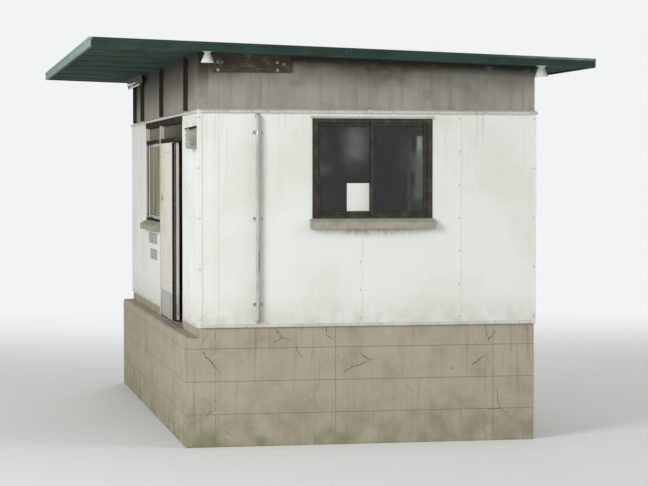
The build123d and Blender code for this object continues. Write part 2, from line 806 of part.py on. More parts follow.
def downpipe():
    """Pipe from the gutter, back under the eave to the wall and down to a shoe."""
    wall_x = ROAD_X + DOWNPIPE_STANDOFF
    top = soffit_z(DOWNPIPE_X) + SOFFIT_THICKNESS * 2
    elbow = soffit_z(DOWNPIPE_X) - DOWNPIPE_DROP
    points = [
        (DOWNPIPE_X, DOWNPIPE_Y, top),
        (DOWNPIPE_X, DOWNPIPE_Y, elbow),
        (wall_x, DOWNPIPE_Y, elbow - DOWNPIPE_NECK),
        (wall_x, DOWNPIPE_Y, DOWNPIPE_SHOE_HEIGHT),
        (wall_x + DOWNPIPE_SHOE_REACH, DOWNPIPE_Y, DOWNPIPE_SHOE_HEIGHT - DOWNPIPE_SHOE_REACH / 2),
    ]
    pipe = swept_tube(points, DOWNPIPE_BEND, DOWNPIPE_RADIUS, DOWNPIPE_WALL)
    above = roof_layer(
        GUTTER_X, INSIDE_X1, INSIDE_Y0, INSIDE_Y1, SOFFIT_THICKNESS, FASCIA_DEPTH * 2
    )
    return pipe - above


def service_conduit():
    """Conduit on the near end wall that turns into the wall at both ends."""
    x = PLATFORM_X + CONDUIT_FROM_CORNER
    y = NEAR_Y - CONDUIT_STANDOFF
    top = TRIM_Z - CONDUIT_BELOW_TRIM
    bottom = FLOOR_Z + CONDUIT_BOTTOM_OVER_FLOOR
    points = [(x, NEAR_Y, top), (x, y, top), (x, y, bottom), (x, NEAR_Y, bottom)]
    return swept_tube(points, CONDUIT_BEND, CONDUIT_RADIUS, 0)


def pipe_clip(radius, standoff):
    """A saddle round a pipe on a wall that faces -Y, drawn about the pipe's centre."""
    inner = radius + CLIP_GAP
    outer = inner + CLIP_SHEET
    ring = Circle(outer) + Pos(0, standoff / 2) * Rectangle(2 * outer, standoff)
    feet = Pos(0, standoff - CLIP_SHEET / 2) * Rectangle(2 * (outer + CLIP_WING), CLIP_SHEET)
    hole = Circle(inner) + Pos(0, standoff / 2) * Rectangle(2 * inner, standoff)
    return Pos(0, 0, -CLIP_HEIGHT / 2) * extrude(ring + feet - hole, amount=CLIP_HEIGHT)


def pipe_clips():
    """Three saddles on the downpipe and three on the conduit."""
    clips = []
    down = pipe_clip(DOWNPIPE_RADIUS, DOWNPIPE_STANDOFF)
    low, high = KERB_Z + CLIP_HEIGHT * 3, TRIM_Z - TRIM_DROP - CLIP_HEIGHT * 3
    for height in (low, (low + high) / 2, high):
        clips.append(Pos(ROAD_X + DOWNPIPE_STANDOFF, DOWNPIPE_Y, height) * Rot(0, 0, 90) * down)
    conduit = pipe_clip(CONDUIT_RADIUS, CONDUIT_STANDOFF)
    bottom = FLOOR_Z + CONDUIT_BOTTOM_OVER_FLOOR + CLIP_HEIGHT * 5
    top = TRIM_Z - CONDUIT_BELOW_TRIM - CLIP_HEIGHT * 5
    for height in (bottom, (bottom + top) / 2, top):
        place = Pos(PLATFORM_X + CONDUIT_FROM_CORNER, NEAR_Y - CONDUIT_STANDOFF, height)
        clips.append(place * conduit)
    return clips


# Pendant lamps under the near eave, and a strip light under the platform eave
def lamp_places():
    y = NEAR_Y - END_EAVE / 2
    return ((PLATFORM_X + LAMP_INSET, y), (ROAD_X - CORNER_SHEET, y))


def lamp_base_z(x):
    return soffit_z(x) - LAMP_SHADE_HEIGHT - LAMP_SHEET * 4


def strip_light_place():
    """Middle of the strip light across and at the foot of its trough, then its two ends."""
    x = PLATFORM_X - STRIP_LIGHT_FROM_WALL
    end = FAR_Y - STRIP_LIGHT_FROM_CORNER
    return x, soffit_z(x) - STRIP_LIGHT_HEIGHT, end - STRIP_LIGHT_LENGTH, end


def strip_light():
    """A folded trough up to the soffit, with a round-footed lampholder under each end."""
    x, foot, start, end = strip_light_place()
    wide, narrow = STRIP_LIGHT_WIDTH / 2, STRIP_LIGHT_TOP_WIDTH / 2
    top = foot + STRIP_LIGHT_HEIGHT + LAMP_SHEET
    outline = [
        (x - wide, foot),
        (x + wide, foot),
        (x + wide, foot + STRIP_LIGHT_LIP),
        (x + narrow, top),
        (x - narrow, top),
        (x - wide, foot + STRIP_LIGHT_LIP),
    ]
    light = along_y(outline, start, end)
    axis = foot - TUBE_DROP
    for y0 in (start, end - LAMPHOLDER_LENGTH):
        y1 = y0 + LAMPHOLDER_LENGTH
        light += slab(x - LAMPHOLDER_RADIUS, x + LAMPHOLDER_RADIUS, y0, y1, axis, foot)
        round_foot = Cylinder(LAMPHOLDER_RADIUS, LAMPHOLDER_LENGTH, rotation=(90, 0, 0))
        light += Pos(x, (y0 + y1) / 2, axis) * round_foot
    return under_soffit(light)


def fluorescent_tube():
    """The tube between the two lampholders."""
    x, foot, start, end = strip_light_place()
    tube = Cylinder(TUBE_RADIUS, end - start - 2 * LAMPHOLDER_LENGTH, rotation=(90, 0, 0))
    return Pos(x, (start + end) / 2, foot - TUBE_DROP) * tube


def lamp_shades():
    """Open pressed shades, each with its lamp holder up to the soffit, and the strip light."""
    top = LAMP_SHADE_HEIGHT
    reach = top + LAMP_SHEET * 8
    outline = Polygon(
        (LAMP_RADIUS, 0),
        (LAMP_TOP_RADIUS, top),
        (LAMP_HOLDER_RADIUS, top),
        (LAMP_HOLDER_RADIUS, reach),
        (0, reach),
        (0, top - LAMP_SHEET),
        (LAMP_TOP_RADIUS - LAMP_SHEET, top - LAMP_SHEET),
        (LAMP_RADIUS - LAMP_SHEET, 0),
        align=None,
    )
    shade = revolve(Plane.XZ * outline, axis=Axis.Z)
    shades = [under_soffit(Pos(x, y, lamp_base_z(x)) * shade) for x, y in lamp_places()]
    return shades + [strip_light()]


def lamp_bulbs():
    """Bulbs that hang in the shades from their caps, and the tube of the strip light."""
    seat = LAMP_SHADE_HEIGHT - LAMP_SHEET
    bulb = Pos(0, 0, seat - BULB_DROP + BULB_RADIUS / 4) * Sphere(BULB_RADIUS)
    cap = Pos(0, 0, seat) * Cylinder(
        BULB_RADIUS / 2, BULB_DROP, align=(Align.CENTER, Align.CENTER, Align.MAX)
    )
    bulbs = [Pos(x, y, lamp_base_z(x)) * (bulb + cap) for x, y in lamp_places()]
    return bulbs + [fluorescent_tube()]


# Board and fixings on the near upper band, and the box on the platform side
def cable_board():
    x0 = PLATFORM_X + BOARD_FROM_CORNER
    y1 = NEAR_Y + BAND_SETBACK
    board = slab(
        x0,
        x0 + BOARD_LENGTH,
        y1 - BOARD_THICKNESS,
        y1,
        EAVE_Z - BOARD_BELOW_EAVE,
        EAVE_Z + FASCIA_DEPTH,
    )
    return under_soffit(board)


def board_insulators():
    """Two grooved knobs on the board."""
    groove = KNOB_RADIUS - KNOB_GROOVE
    third = KNOB_LENGTH / 3
    outline = Polygon(
        (0, 0),
        (KNOB_RADIUS, 0),
        (KNOB_RADIUS, third),
        (groove, third + KNOB_GROOVE / 2),
        (groove, 2 * third - KNOB_GROOVE / 2),
        (KNOB_RADIUS, 2 * third),
        (KNOB_RADIUS - KNOB_GROOVE / 2, KNOB_LENGTH),
        (0, KNOB_LENGTH),
        align=None,
    )
    knob = revolve(Plane.XZ * outline, axis=Axis.Z)
    x0 = PLATFORM_X + BOARD_FROM_CORNER
    face = NEAR_Y + BAND_SETBACK - BOARD_THICKNESS
    knobs = []
    for x in (x0 + KNOB_INSET, x0 + BOARD_LENGTH - KNOB_INSET):
        middle = (EAVE_Z - BOARD_BELOW_EAVE + soffit_z(x)) / 2
        plane = Plane(origin=(x, face, middle), x_dir=(1, 0, 0), z_dir=(0, -1, 0))
        knobs.append(plane * knob)
    return knobs


def wall_box():
    """Sheet metal box with a sloping lid, near the corner on the platform side."""
    top = TRIM_Z - WALL_BOX_BELOW_TRIM
    y0 = NEAR_Y + WALL_BOX_FROM_CORNER + CORNER_LEG
    y1 = y0 + WALL_BOX_WIDTH
    front = PLATFORM_X - WALL_BOX_PROJECTION
    body = slab(front, PLATFORM_X, y0, y1, top - WALL_BOX_HEIGHT, top)
    lid_outline = [
        (front - WALL_BOX_LID_LAP, top),
        (PLATFORM_X, top),
        (PLATFORM_X, top + WALL_BOX_LID * 2),
        (front - WALL_BOX_LID_LAP, top + WALL_BOX_LID),
    ]
    return body + along_y(lid_outline, y0 - WALL_BOX_LID_LAP, y1 + WALL_BOX_LID_LAP)


# Every node of the building, by the name of its file
NODES = {
    "platform_footing": platform_footing,
    "road_footing": road_footing,
    "end_footings": end_footings,
    "floor_slab": floor_slab,
    "near_wall": near_wall,
    "far_wall": far_wall,
    "road_wall": road_wall,
    "platform_near_pier": platform_near_pier,
    "platform_far_pier": platform_far_pier,
    "platform_spandrel": platform_spandrel,
    "platform_lintel": platform_lintel,
    "end_bands": end_bands,
    "platform_band": platform_band,
    "road_band": road_band,
    "band_mullions": band_mullions,
    "trim_rails": trim_rails,
    "corner_trims": corner_trims,
    "frame_posts": frame_posts,
    "frame_rails": frame_rails,
    "transom_glass": transom_glass,
    "door_sill": door_sill,
    "outer_door_leaf": lambda: door_leaf(OUTER_LEAF_X, OUTER_PULL_Y),
    "outer_door_pulls": lambda: door_pulls(OUTER_LEAF_X, OUTER_PULL_Y),
    "inner_door_leaf": lambda: door_leaf(INNER_LEAF_X, INNER_PULL_Y),
    "inner_door_pulls": lambda: door_pulls(INNER_LEAF_X, INNER_PULL_Y),
    "window_jambs": window_jambs,
    "window_rails": window_rails,
    "window_sashes": window_sashes,
    "window_glass": window_glass,
    "window_sills": window_sills,
    "soffit_board": soffit_board,
    "roof_rafters": roof_rafters,
    "roof_deck": roof_deck,
    "gutter_sole": gutter_sole,
    "gutter_sides": gutter_sides,
    "platform_fascia": platform_fascia,
    "road_fascia": road_fascia,
    "end_fascias": end_fascias,
    "downpipe": downpipe,
    "service_conduit": service_conduit,
    "pipe_clips": pipe_clips,
    "lamp_shades": lamp_shades,
    "lamp_bulbs": lamp_bulbs,
    "cable_board": cable_board,
    "board_insulators": board_insulators,
    "wall_box": wall_box,
}


def main():
    os.makedirs("parts", exist_ok=True)
    for name, make in NODES.items():
        made = make()
        pieces = made if isinstance(made, list) else [made]
        solids = [solid for piece in pieces for solid in piece.solids()]
        export_step(Compound(solids), f"parts/{name}.step")
    print("doorway from Y", DOOR_Y, "to", POST_Y, "leaf rests from", LEAF_REST_Y)


main()
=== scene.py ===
# %% [markdown]
# A one-room station building stands on a concrete foundation under a low green roof. It is a steel
# frame clad in painted sheet, of the kind that comes to the site in panels and goes up in a few days.
# The solids come ready made and in their places. This lesson dresses them: every surface gets the
# finish of its real material, and then the small things go on that a builder fixes last, such as cover
# strips, screws, gaskets and straps.
# Lengths are in metres, +Z is up, -X is the platform side and -Y is the end wall that the camera sees.

import math

import bmesh
import bpy
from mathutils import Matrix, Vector


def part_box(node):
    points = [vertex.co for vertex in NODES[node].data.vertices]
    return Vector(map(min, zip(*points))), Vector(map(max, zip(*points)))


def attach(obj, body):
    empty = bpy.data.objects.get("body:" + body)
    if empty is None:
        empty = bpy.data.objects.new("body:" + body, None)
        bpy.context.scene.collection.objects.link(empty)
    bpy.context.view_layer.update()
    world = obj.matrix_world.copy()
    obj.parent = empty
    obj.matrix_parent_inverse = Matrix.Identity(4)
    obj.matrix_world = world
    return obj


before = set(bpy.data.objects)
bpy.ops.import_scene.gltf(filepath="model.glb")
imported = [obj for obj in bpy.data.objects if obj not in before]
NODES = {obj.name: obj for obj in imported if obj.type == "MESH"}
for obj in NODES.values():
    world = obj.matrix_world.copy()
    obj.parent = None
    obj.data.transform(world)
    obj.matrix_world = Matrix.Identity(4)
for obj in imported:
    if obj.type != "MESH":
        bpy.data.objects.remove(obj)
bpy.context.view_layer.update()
MM = 0.001


def rounded(values):
    return [round(value, 3) for value in values]


# %% [markdown]
# Most of the fittings are placed from the solids themselves, so a larger window gets a longer gasket
# without a new number. A node such as the window glass holds ten panes in one mesh, though. The helper
# below welds a copy of a mesh and follows its edges, which gives a box for each pane. The other way
# would be to write ten places down by hand, and they would soon be wrong.

# %% Find the separate pieces inside one node
WELD_DISTANCE = 0.05 * MM


def loose_boxes(node):
    """The lowest and highest corner of each separate piece of a node."""
    mesh = bmesh.new()
    mesh.from_mesh(NODES[node].data)
    bmesh.ops.remove_doubles(mesh, verts=mesh.verts, dist=WELD_DISTANCE)
    unseen = set(mesh.verts)
    boxes = []
    while unseen:
        front = [unseen.pop()]
        found = []
        while front:
            vert = front.pop()
            found.append(vert.co.copy())
            for edge in vert.link_edges:
                other = edge.other_vert(vert)
                if other in unseen:
                    unseen.remove(other)
                    front.append(other)
        low = Vector([min(point[axis] for point in found) for axis in range(3)])
        high = Vector([max(point[axis] for point in found) for axis in range(3)])
        boxes.append((low, high))
    mesh.free()
    return sorted(boxes, key=lambda box: tuple(box[0]))


WALLS = (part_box("near_wall")[0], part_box("far_wall")[1])
PLATFORM_FACE, NEAR_FACE, KERB_TOP = WALLS[0]
ROAD_FACE, FAR_FACE, WALL_TOP = WALLS[1]
WALL_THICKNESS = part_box("platform_near_pier")[1].x - PLATFORM_FACE
FLOOR_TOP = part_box("floor_slab")[1].z
panes = loose_boxes("window_glass")
print("walls from", rounded(WALLS[0]), "to", rounded(WALLS[1]), "with", len(panes), "panes")

# %% [markdown]
# Colours are written as they are seen, as sRGB hex values, because a maker reads a paint chart that
# way. A shader works with light, which adds up in a straight line, so one function turns the first
# into the second. One more small function adds a node, sets its settings and links its inputs, and the
# whole of every material below is written with it.

# %% Colour and node helpers
def linear(hex_colour):
    """The linear red, green, blue and alpha of an sRGB hex colour."""
    seen = [int(hex_colour[start:start + 2], 16) / 255 for start in (1, 3, 5)]
    light = [part / 12.92 if part <= 0.04045 else ((part + 0.055) / 1.055) ** 2.4 for part in seen]
    return light + [1.0]


def add(tree, kind, inputs=None, **settings):
    """Adds a node, gives it its settings, and sets or links its inputs."""
    node = tree.nodes.new(kind)
    for name, value in settings.items():
        setattr(node, name, value)
    for socket, value in (inputs or {}).items():
        if isinstance(value, bpy.types.NodeSocket):
            tree.links.new(value, node.inputs[socket])
        else:
            node.inputs[socket].default_value = value
    return node


print("white paint is", rounded(linear("#DDDED8")))

# %% [markdown]
# Old surfaces are coats on coats: paint, fading on the paint, then dust and rain marks on both. The
# materials are built the same way. Each coat has a colour and a mask that says where it shows, and the
# masks come from a few patterns that are named for what makes them. A pattern's size is given in
# millimetres, so it stays true whatever it is laid on. The Mix node has several sockets of one name, so
# those for colour are asked for by number.

# %% Patterns of wear and weather
FACTOR = 0
UNDER = 6
OVER = 7
MIXED = 2
RESULT = "Result"
LEVEL_FROM = 0.4
LEVEL_FULL = 0.9
FLAT_MATCH = 0.999
WORN_MATCH = 0.93


def new_finish(name, sockets):
    """A material with these values straight on its shader, and the place of each point in metres."""
    material = bpy.data.materials.new(name)
    material.use_nodes = True
    tree = material.node_tree
    shader = tree.nodes["Principled BSDF"]
    for socket, value in sockets.items():
        shader.inputs[socket].default_value = value
    place = add(tree, "ShaderNodeTexCoord").outputs["Object"]
    return tree, shader, place


def coats(tree, base, *layers):
    """A colour built up in coats, each given as its hex colour and the mask where it shows."""
    colour = linear(base)
    for over, mask in layers:
        inputs = {FACTOR: mask, UNDER: colour, OVER: linear(over)}
        colour = add(tree, "ShaderNodeMix", inputs, data_type="RGBA").outputs[MIXED]
    return colour


def patches(tree, place, size, low, high, stretch=(1, 1, 1), within=1.0, depth=4.0):
    """A mask of soft patches about this many millimetres across, kept within another mask."""
    scale = [1 / (size * MM * part) for part in stretch]
    spot = add(tree, "ShaderNodeMapping", {"Vector": place, "Scale": scale}).outputs["Vector"]
    cloud = add(tree, "ShaderNodeTexNoise", {"Vector": spot, "Scale": 1.0, "Detail": depth})
    limits = {"Value": cloud.outputs[0], "From Min": low, "From Max": high, "To Max": within}
    return add(tree, "ShaderNodeMapRange", limits, interpolation_type="SMOOTHSTEP").outputs[RESULT]


def rise(tree, place, start, end, axis="Z"):
    """A mask that goes from 0 to 1 between two heights in metres, or two places along an axis."""
    height = add(tree, "ShaderNodeSeparateXYZ", {0: place}).outputs[axis]
    limits = {"Value": height, "From Min": start, "From Max": end}
    return add(tree, "ShaderNodeMapRange", limits).outputs[RESULT]


def on_platform_side(tree, place):
    """A mask of everything within a wall's thickness of the platform face."""
    limit = PLATFORM_FACE + WALL_THICKNESS
    return rise(tree, place, limit, limit - MM, "X")


def both(tree, one, other):
    """A mask of where two masks both show."""
    return add(tree, "ShaderNodeMath", {0: one, 1: other}, operation="MULTIPLY").outputs[0]


def either(tree, one, other):
    """A mask of where at least one of two masks shows."""
    return add(tree, "ShaderNodeMath", {0: one, 1: other}, operation="MAXIMUM").outputs[0]


def around(tree, place, point, reach):
    """A mask that fades out from a point over a reach given for x, y and z in metres."""
    scale = [1 / part for part in reach]
    offset = add(tree, "ShaderNodeVectorMath", {0: place, 1: point}, operation="SUBTRACT").outputs["Vector"]
    scaled = add(tree, "ShaderNodeVectorMath", {0: offset, 1: scale}, operation="MULTIPLY").outputs["Vector"]
    distance = add(tree, "ShaderNodeVectorMath", {0: scaled}, operation="LENGTH").outputs["Value"]
    limits = {"Value": distance, "From Min": 1.0, "From Max": 0.0}
    return add(tree, "ShaderNodeMapRange", limits, interpolation_type="SMOOTHSTEP").outputs[RESULT]


def ledges(tree):
    """A mask of the faces that look up, where dust and moss settle."""
    facing = add(tree, "ShaderNodeNewGeometry").outputs["Normal"]
    upward = add(tree, "ShaderNodeSeparateXYZ", {0: facing}).outputs["Z"]
    limits = {"Value": upward, "From Min": LEVEL_FROM, "From Max": LEVEL_FULL}
    return add(tree, "ShaderNodeMapRange", limits).outputs[RESULT]


def worn_edges(tree, width):
    """A mask of the strip along each sharp edge, this many millimetres wide."""
    softened = add(tree, "ShaderNodeBevel", {"Radius": width * MM}, samples=4).outputs["Normal"]
    facing = add(tree, "ShaderNodeNewGeometry").outputs["Normal"]
    match = add(tree, "ShaderNodeVectorMath", {0: softened, 1: facing}, operation="DOT_PRODUCT")
    limits = {"Value": match.outputs["Value"], "From Min": FLAT_MATCH, "From Max": WORN_MATCH}
    return add(tree, "ShaderNodeMapRange", limits).outputs[RESULT]


def lay_on(tree, shader, colour, relief, depth):
    """Gives the shader its colour, and a relief as a bump this many millimetres deep."""
    tree.links.new(colour, shader.inputs["Base Color"])
    bump = add(tree, "ShaderNodeBump", {"Height": relief, "Distance": depth * MM})
    tree.links.new(bump.outputs["Normal"], shader.inputs["Normal"])


def dress(finish, *nodes):
    """Puts a finish on solids."""
    for node in nodes:
        NODES[node].material_slots[0].material = bpy.data.materials[finish]
    print(finish, "on", ", ".join(nodes))


# %% [markdown]
# The lower walls are steel sheet with a white alkyd paint that was rolled on over the factory coat.
# Rolled paint is dull rather than glossy, and its stipple is a few millimetres across. It yellows in
# large patches. Rain runs down it from the rail in grey threads, and the lowest hand's breadth is
# splashed with dirt from the ground. A stretched noise gives the threads: it is squeezed sideways and
# drawn out upwards, which is how a run of water looks. Under the near window's sill a brown painted
# shadow stands in for the shade that the sill casts.

# %% White wall paint
SILL_SHADOW = (0.30, NEAR_FACE, 1.985)
SILL_SHADOW_REACH = (0.66, 0.1, 0.10)
THREAD_LENGTH = 0.9
SPLASH_LOW = KERB_TOP - 0.05
SPLASH_HIGH = KERB_TOP + 0.30
SPOTS_HIGH = KERB_TOP + 0.50


def rolled_wall_paint():
    settings = {"Roughness": 0.55, "IOR": 1.5, "Specular IOR Level": 0.3}
    tree, shader, place = new_finish("rolled_wall_paint", settings)
    under_rail = rise(tree, place, WALL_TOP - THREAD_LENGTH, WALL_TOP)
    splash_zone = rise(tree, place, SPLASH_HIGH, SPLASH_LOW)
    splash_fine = rise(tree, place, SPOTS_HIGH, KERB_TOP)
    yellowed = patches(tree, place, 700, 0.42, 0.68)
    threads = patches(tree, place, 20, 0.52, 0.86, stretch=(1, 1, 30), within=under_rail)
    splashes = patches(tree, place, 110, 0.05, 1.15, within=splash_zone, depth=9.0)
    spots = patches(tree, place, 6, 0.60, 0.80, within=splash_fine)
    scuffs = patches(tree, place, 60, 0.70, 0.80, stretch=(1, 1, 0.3))
    # Painted shadow of the near window's sill, in a brown band under it.
    below_sill = around(tree, place, SILL_SHADOW, SILL_SHADOW_REACH)
    painted_sill_shadow = patches(tree, place, 40, 0.20, 0.70, stretch=(1, 1, 2), within=below_sill)
    colour = coats(
        tree,
        "#E5E7E2",
        ("#DEDED6", yellowed),
        ("#C4C4BC", threads),
        ("#A69D8A", painted_sill_shadow),
        ("#AEA694", splashes),
        ("#C4BDAE", spots),
        ("#D5D4CC", scuffs),
    )
    stipple = patches(tree, place, 5, 0.2, 0.8, depth=2.0)
    lay_on(tree, shader, colour, stipple, 0.25)


rolled_wall_paint()
dress("rolled_wall_paint", "near_wall", "far_wall", "road_wall", "corner_trims")
dress("rolled_wall_paint", "platform_near_pier", "platform_far_pier", "platform_spandrel", "platform_lintel")

# %% [markdown]
# The band under the roof has an older, grey-brown paint that nobody rolled over. It is chalky, so it
# is rougher than the wall. Painted shade darkens it under the soffit: in patches down the top of each
# side, deeper on the platform side, and as a painted shadow line where it meets the soffit and in the
# corner by the platform. Soot darkens it over the near window, and rain that blows in under the eave
# has washed runs into it. The soffit slopes, so the shadow line under it is a mask of the height
# measured square to the slope.

# %% Grey band paint
SMUDGE = (0.35, NEAR_FACE, WALL_TOP + 0.40)
SMUDGE_REACH = (0.75, 0.3, 0.22)
EAVE_SHADE_LOW = WALL_TOP + 0.18
EAVE_SHADE_HIGH = WALL_TOP + 0.56
PLATFORM_SHADE_LOW = WALL_TOP + 0.06
PLATFORM_SHADE_HIGH = WALL_TOP + 0.50
band_low, band_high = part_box("platform_band")
road_band_low, road_band_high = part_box("road_band")
SOFFIT_FALL = (band_high.z - road_band_high.z) / (road_band_low.x - band_low.x)
SHADOW_LINE_LOW = 0.11
SHADOW_LINE_HIGH = 0.03
CORNER_SHADE = (band_low.x + 0.10, NEAR_FACE, band_high.z - 0.03)
CORNER_REACH = (0.60, 0.3, 0.28)


def soffit_over(x):
    """The height of the soffit's underside at this x."""
    return band_high.z - SOFFIT_FALL * (x - band_low.x)


def under_slope(tree, place, low, high):
    """A mask from 0 to 1 between two depths under the sloping soffit, in metres."""
    square = {0: place, 1: (SOFFIT_FALL, 0, 1)}
    height = add(tree, "ShaderNodeVectorMath", square, operation="DOT_PRODUCT").outputs["Value"]
    top = soffit_over(0)
    limits = {"Value": height, "From Min": top - low, "From Max": top - high}
    return add(tree, "ShaderNodeMapRange", limits).outputs[RESULT]


def chalked_band_paint():
    settings = {"Roughness": 0.75, "IOR": 1.5, "Specular IOR Level": 0.2}
    tree, shader, place = new_finish("chalked_band_paint", settings)
    # Painted shade of the soffit: in patches at the top of each side, and deeper on the platform side.
    under_soffit = rise(tree, place, EAVE_SHADE_LOW, EAVE_SHADE_HIGH)
    eave_shade_depth = rise(tree, place, PLATFORM_SHADE_LOW, PLATFORM_SHADE_HIGH)
    painted_platform_shade = both(tree, on_platform_side(tree, place), eave_shade_depth)
    # Painted shadow line where the band meets the soffit, and in the corner by the platform.
    shadow_line_band = under_slope(tree, place, SHADOW_LINE_LOW, SHADOW_LINE_HIGH)
    in_corner = around(tree, place, CORNER_SHADE, CORNER_REACH)
    shaded_top = either(tree, shadow_line_band, in_corner)
    painted_shadow_line = patches(tree, place, 90, 0.05, 0.50, stretch=(1.5, 1.5, 1), within=shaded_top, depth=6.0)
    painted_eave_shade = patches(tree, place, 160, 0.22, 0.66, stretch=(1, 1, 1.6), within=under_soffit)
    washed = patches(tree, place, 60, 0.42, 1.05, stretch=(1, 1, 14), depth=7.0)
    faded = patches(tree, place, 420, 0.30, 0.80, depth=6.0)
    smudges = patches(tree, place, 230, 0.50, 0.85, stretch=(1, 1, 0.7), within=0.7, depth=7.0)
    over_window = around(tree, place, SMUDGE, SMUDGE_REACH)
    smoke = patches(tree, place, 90, 0.15, 0.70, within=over_window, depth=7.0)
    rust_dots = patches(tree, place, 14, 0.74, 0.80)
    colour = coats(
        tree,
        "#97948A",
        ("#A6A297", faded),
        ("#736F64", washed),
        ("#7E7262", smudges),
        ("#6A5F50", smoke),
        # Painted shade, then the painted shadow line at the top.
        ("#5B574D", painted_eave_shade),
        ("#464038", painted_platform_shade),
        ("#38332B", painted_shadow_line),
        ("#6B4A35", rust_dots),
    )
    stipple = patches(tree, place, 4, 0.2, 0.8, depth=3.0)
    lay_on(tree, shader, colour, stipple, 0.3)


chalked_band_paint()
dress("chalked_band_paint", "end_bands", "platform_band", "road_band")
print("soffit falls", round(SOFFIT_FALL / MM, 1), "mm in a metre")

# %% [markdown]
# The rail between wall and band, the door frame and the leaves are steel under a brushed gloss enamel
# that has gone satin. Brush marks run along the piece, a millimetre or two apart, and the paint wears
# through first along the edges that hands and shoes reach. The posts are a warm cream, the rail round
# the building is a cooler grey-white, and the door's head is dark as painted shade, in place of the
# shade under the trim rail. One function takes the colours and every finish is made with it. Soot has
# filled the gloss of the dark steel, so that one has no sheen.

# %% Enamelled steel
SATIN = 0.35
DEAD = 0.0


def brushed_enamel(name, gloss, body, aged, grime, floor_grime):
    """Satin enamel with brush marks along z, grimy up to a height over the floor."""
    settings = {"Roughness": 0.45, "IOR": 1.5, "Specular IOR Level": gloss}
    tree, shader, place = new_finish(name, settings)
    low = rise(tree, place, FLOOR_TOP + floor_grime, FLOOR_TOP)
    aging = patches(tree, place, 300, 0.38, 0.70, stretch=(1, 1, 2))
    runs = patches(tree, place, 18, 0.52, 0.80, stretch=(1, 1, 30))
    kicked = patches(tree, place, 45, 0.28, 0.60, within=low)
    rubbed = patches(tree, place, 22, 0.35, 0.60, within=worn_edges(tree, 4))
    colour = coats(
        tree,
        body,
        (aged, aging),
        (grime, runs),
        ("#8C8470", kicked),
        ("#7A6A55", rubbed),
    )
    marks = patches(tree, place, 2.5, 0.2, 0.8, stretch=(1, 1, 20), depth=2.0)
    lay_on(tree, shader, colour, marks, 0.15)


brushed_enamel("cream_frame_enamel", SATIN, "#D0CBBC", "#C3BCA8", "#B0A893", 0.25)
brushed_enamel("cream_door_enamel", SATIN, "#DDDACD", "#D3CDBC", "#BDB6A4", 0.35)
brushed_enamel("grey_trim_enamel", SATIN, "#CFCFC8", "#BFBDB3", "#99958C", 0.0)
brushed_enamel("dark_steel_and_painted_shade", DEAD, "#3A3732", "#47433D", "#2A2723", 0.0)
brushed_enamel("grey_box_enamel", SATIN, "#93948C", "#A19F94", "#77766D", 0.0)
dress("cream_frame_enamel", "frame_posts")
dress("cream_door_enamel", "outer_door_leaf", "inner_door_leaf")
dress("grey_trim_enamel", "trim_rails")
# The door frame's rails take the dark finish as painted shade under the trim rail over the door.
dress("dark_steel_and_painted_shade", "band_mullions", "roof_rafters", "frame_rails")
dress("grey_box_enamel", "wall_box")

# %% [markdown]
# The roof is folded from painted steel sheet. Green roof paint chalks in the sun: a pale powder comes
# up on it, which rain drags down the slope in streaks. Along the cut and folded edges the paint is thin,
# and it goes first to a lighter teal and then to rust. The slope runs along x, so here the noise is
# drawn out that way. The capping gets a painted highlight: pale mint at the low end, and nearly white
# along the whole edge on the platform side, where the edge catches the light. So the same function
# makes a second finish with both painted highlights laid on.

# %% Green roof paint
fascia_low, fascia_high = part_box("platform_fascia")
HIGHLIT_LIP = 0.03
HIGHLIGHT_FROM = 1.2


def chalked_roof_paint(name, bleach_and_highlight):
    """Chalked green paint, which may carry a painted highlight along the platform edge and at the low end."""
    settings = {"Roughness": 0.7, "IOR": 1.5, "Specular IOR Level": 0.06}
    tree, shader, place = new_finish(name, settings)
    upward = ledges(tree)
    lip = rise(tree, place, fascia_low.x + HIGHLIT_LIP, fascia_low.x + HIGHLIT_LIP / 2, "X")
    low_end = rise(tree, place, HIGHLIGHT_FROM, -fascia_low.x, "X")
    # Painted highlight: pale mint at the low end, and nearly white along the platform edge.
    low_end_highlight = both(tree, patches(tree, place, 160, 0.20, 0.60, within=low_end), bleach_and_highlight)
    edge_highlight = both(tree, patches(tree, place, 160, 0.00, 0.45, within=lip), bleach_and_highlight)
    chalk = patches(tree, place, 350, 0.36, 0.66)
    drags = patches(tree, place, 30, 0.48, 0.74, stretch=(18, 1, 1), within=upward)
    dust = patches(tree, place, 120, 0.40, 0.70, within=upward)
    thin_paint = patches(tree, place, 60, 0.30, 0.55, within=worn_edges(tree, 6))
    rust = patches(tree, place, 38, 0.66, 0.74, within=worn_edges(tree, 12))
    specks = patches(tree, place, 9, 0.73, 0.78)
    colour = coats(
        tree,
        "#293933",
        ("#33443D", chalk),
        ("#43554C", drags),
        ("#5A6158", dust),
        ("#8A9C8C", low_end_highlight),
        ("#4A6157", thin_paint),
        ("#8FA5A0", edge_highlight),
        ("#6B4630", rust),
        ("#54412F", specks),
    )
    skin = patches(tree, place, 12, 0.2, 0.8, depth=3.0)
    lay_on(tree, shader, colour, skin, 0.3)


chalked_roof_paint("chalked_roof_paint", 0.0)
chalked_roof_paint("capping_paint_with_painted_highlight", 0.85)
dress("chalked_roof_paint", "roof_deck", "road_fascia", "end_fascias", "gutter_sole", "gutter_sides")
dress("capping_paint_with_painted_highlight", "platform_fascia")

# %% [markdown]
# The soffit is board with the same green, laid on thin and never washed by rain. It is darker and
# duller than the roof, with brown tide marks round old leaks and a bloom of pale mould in patches.

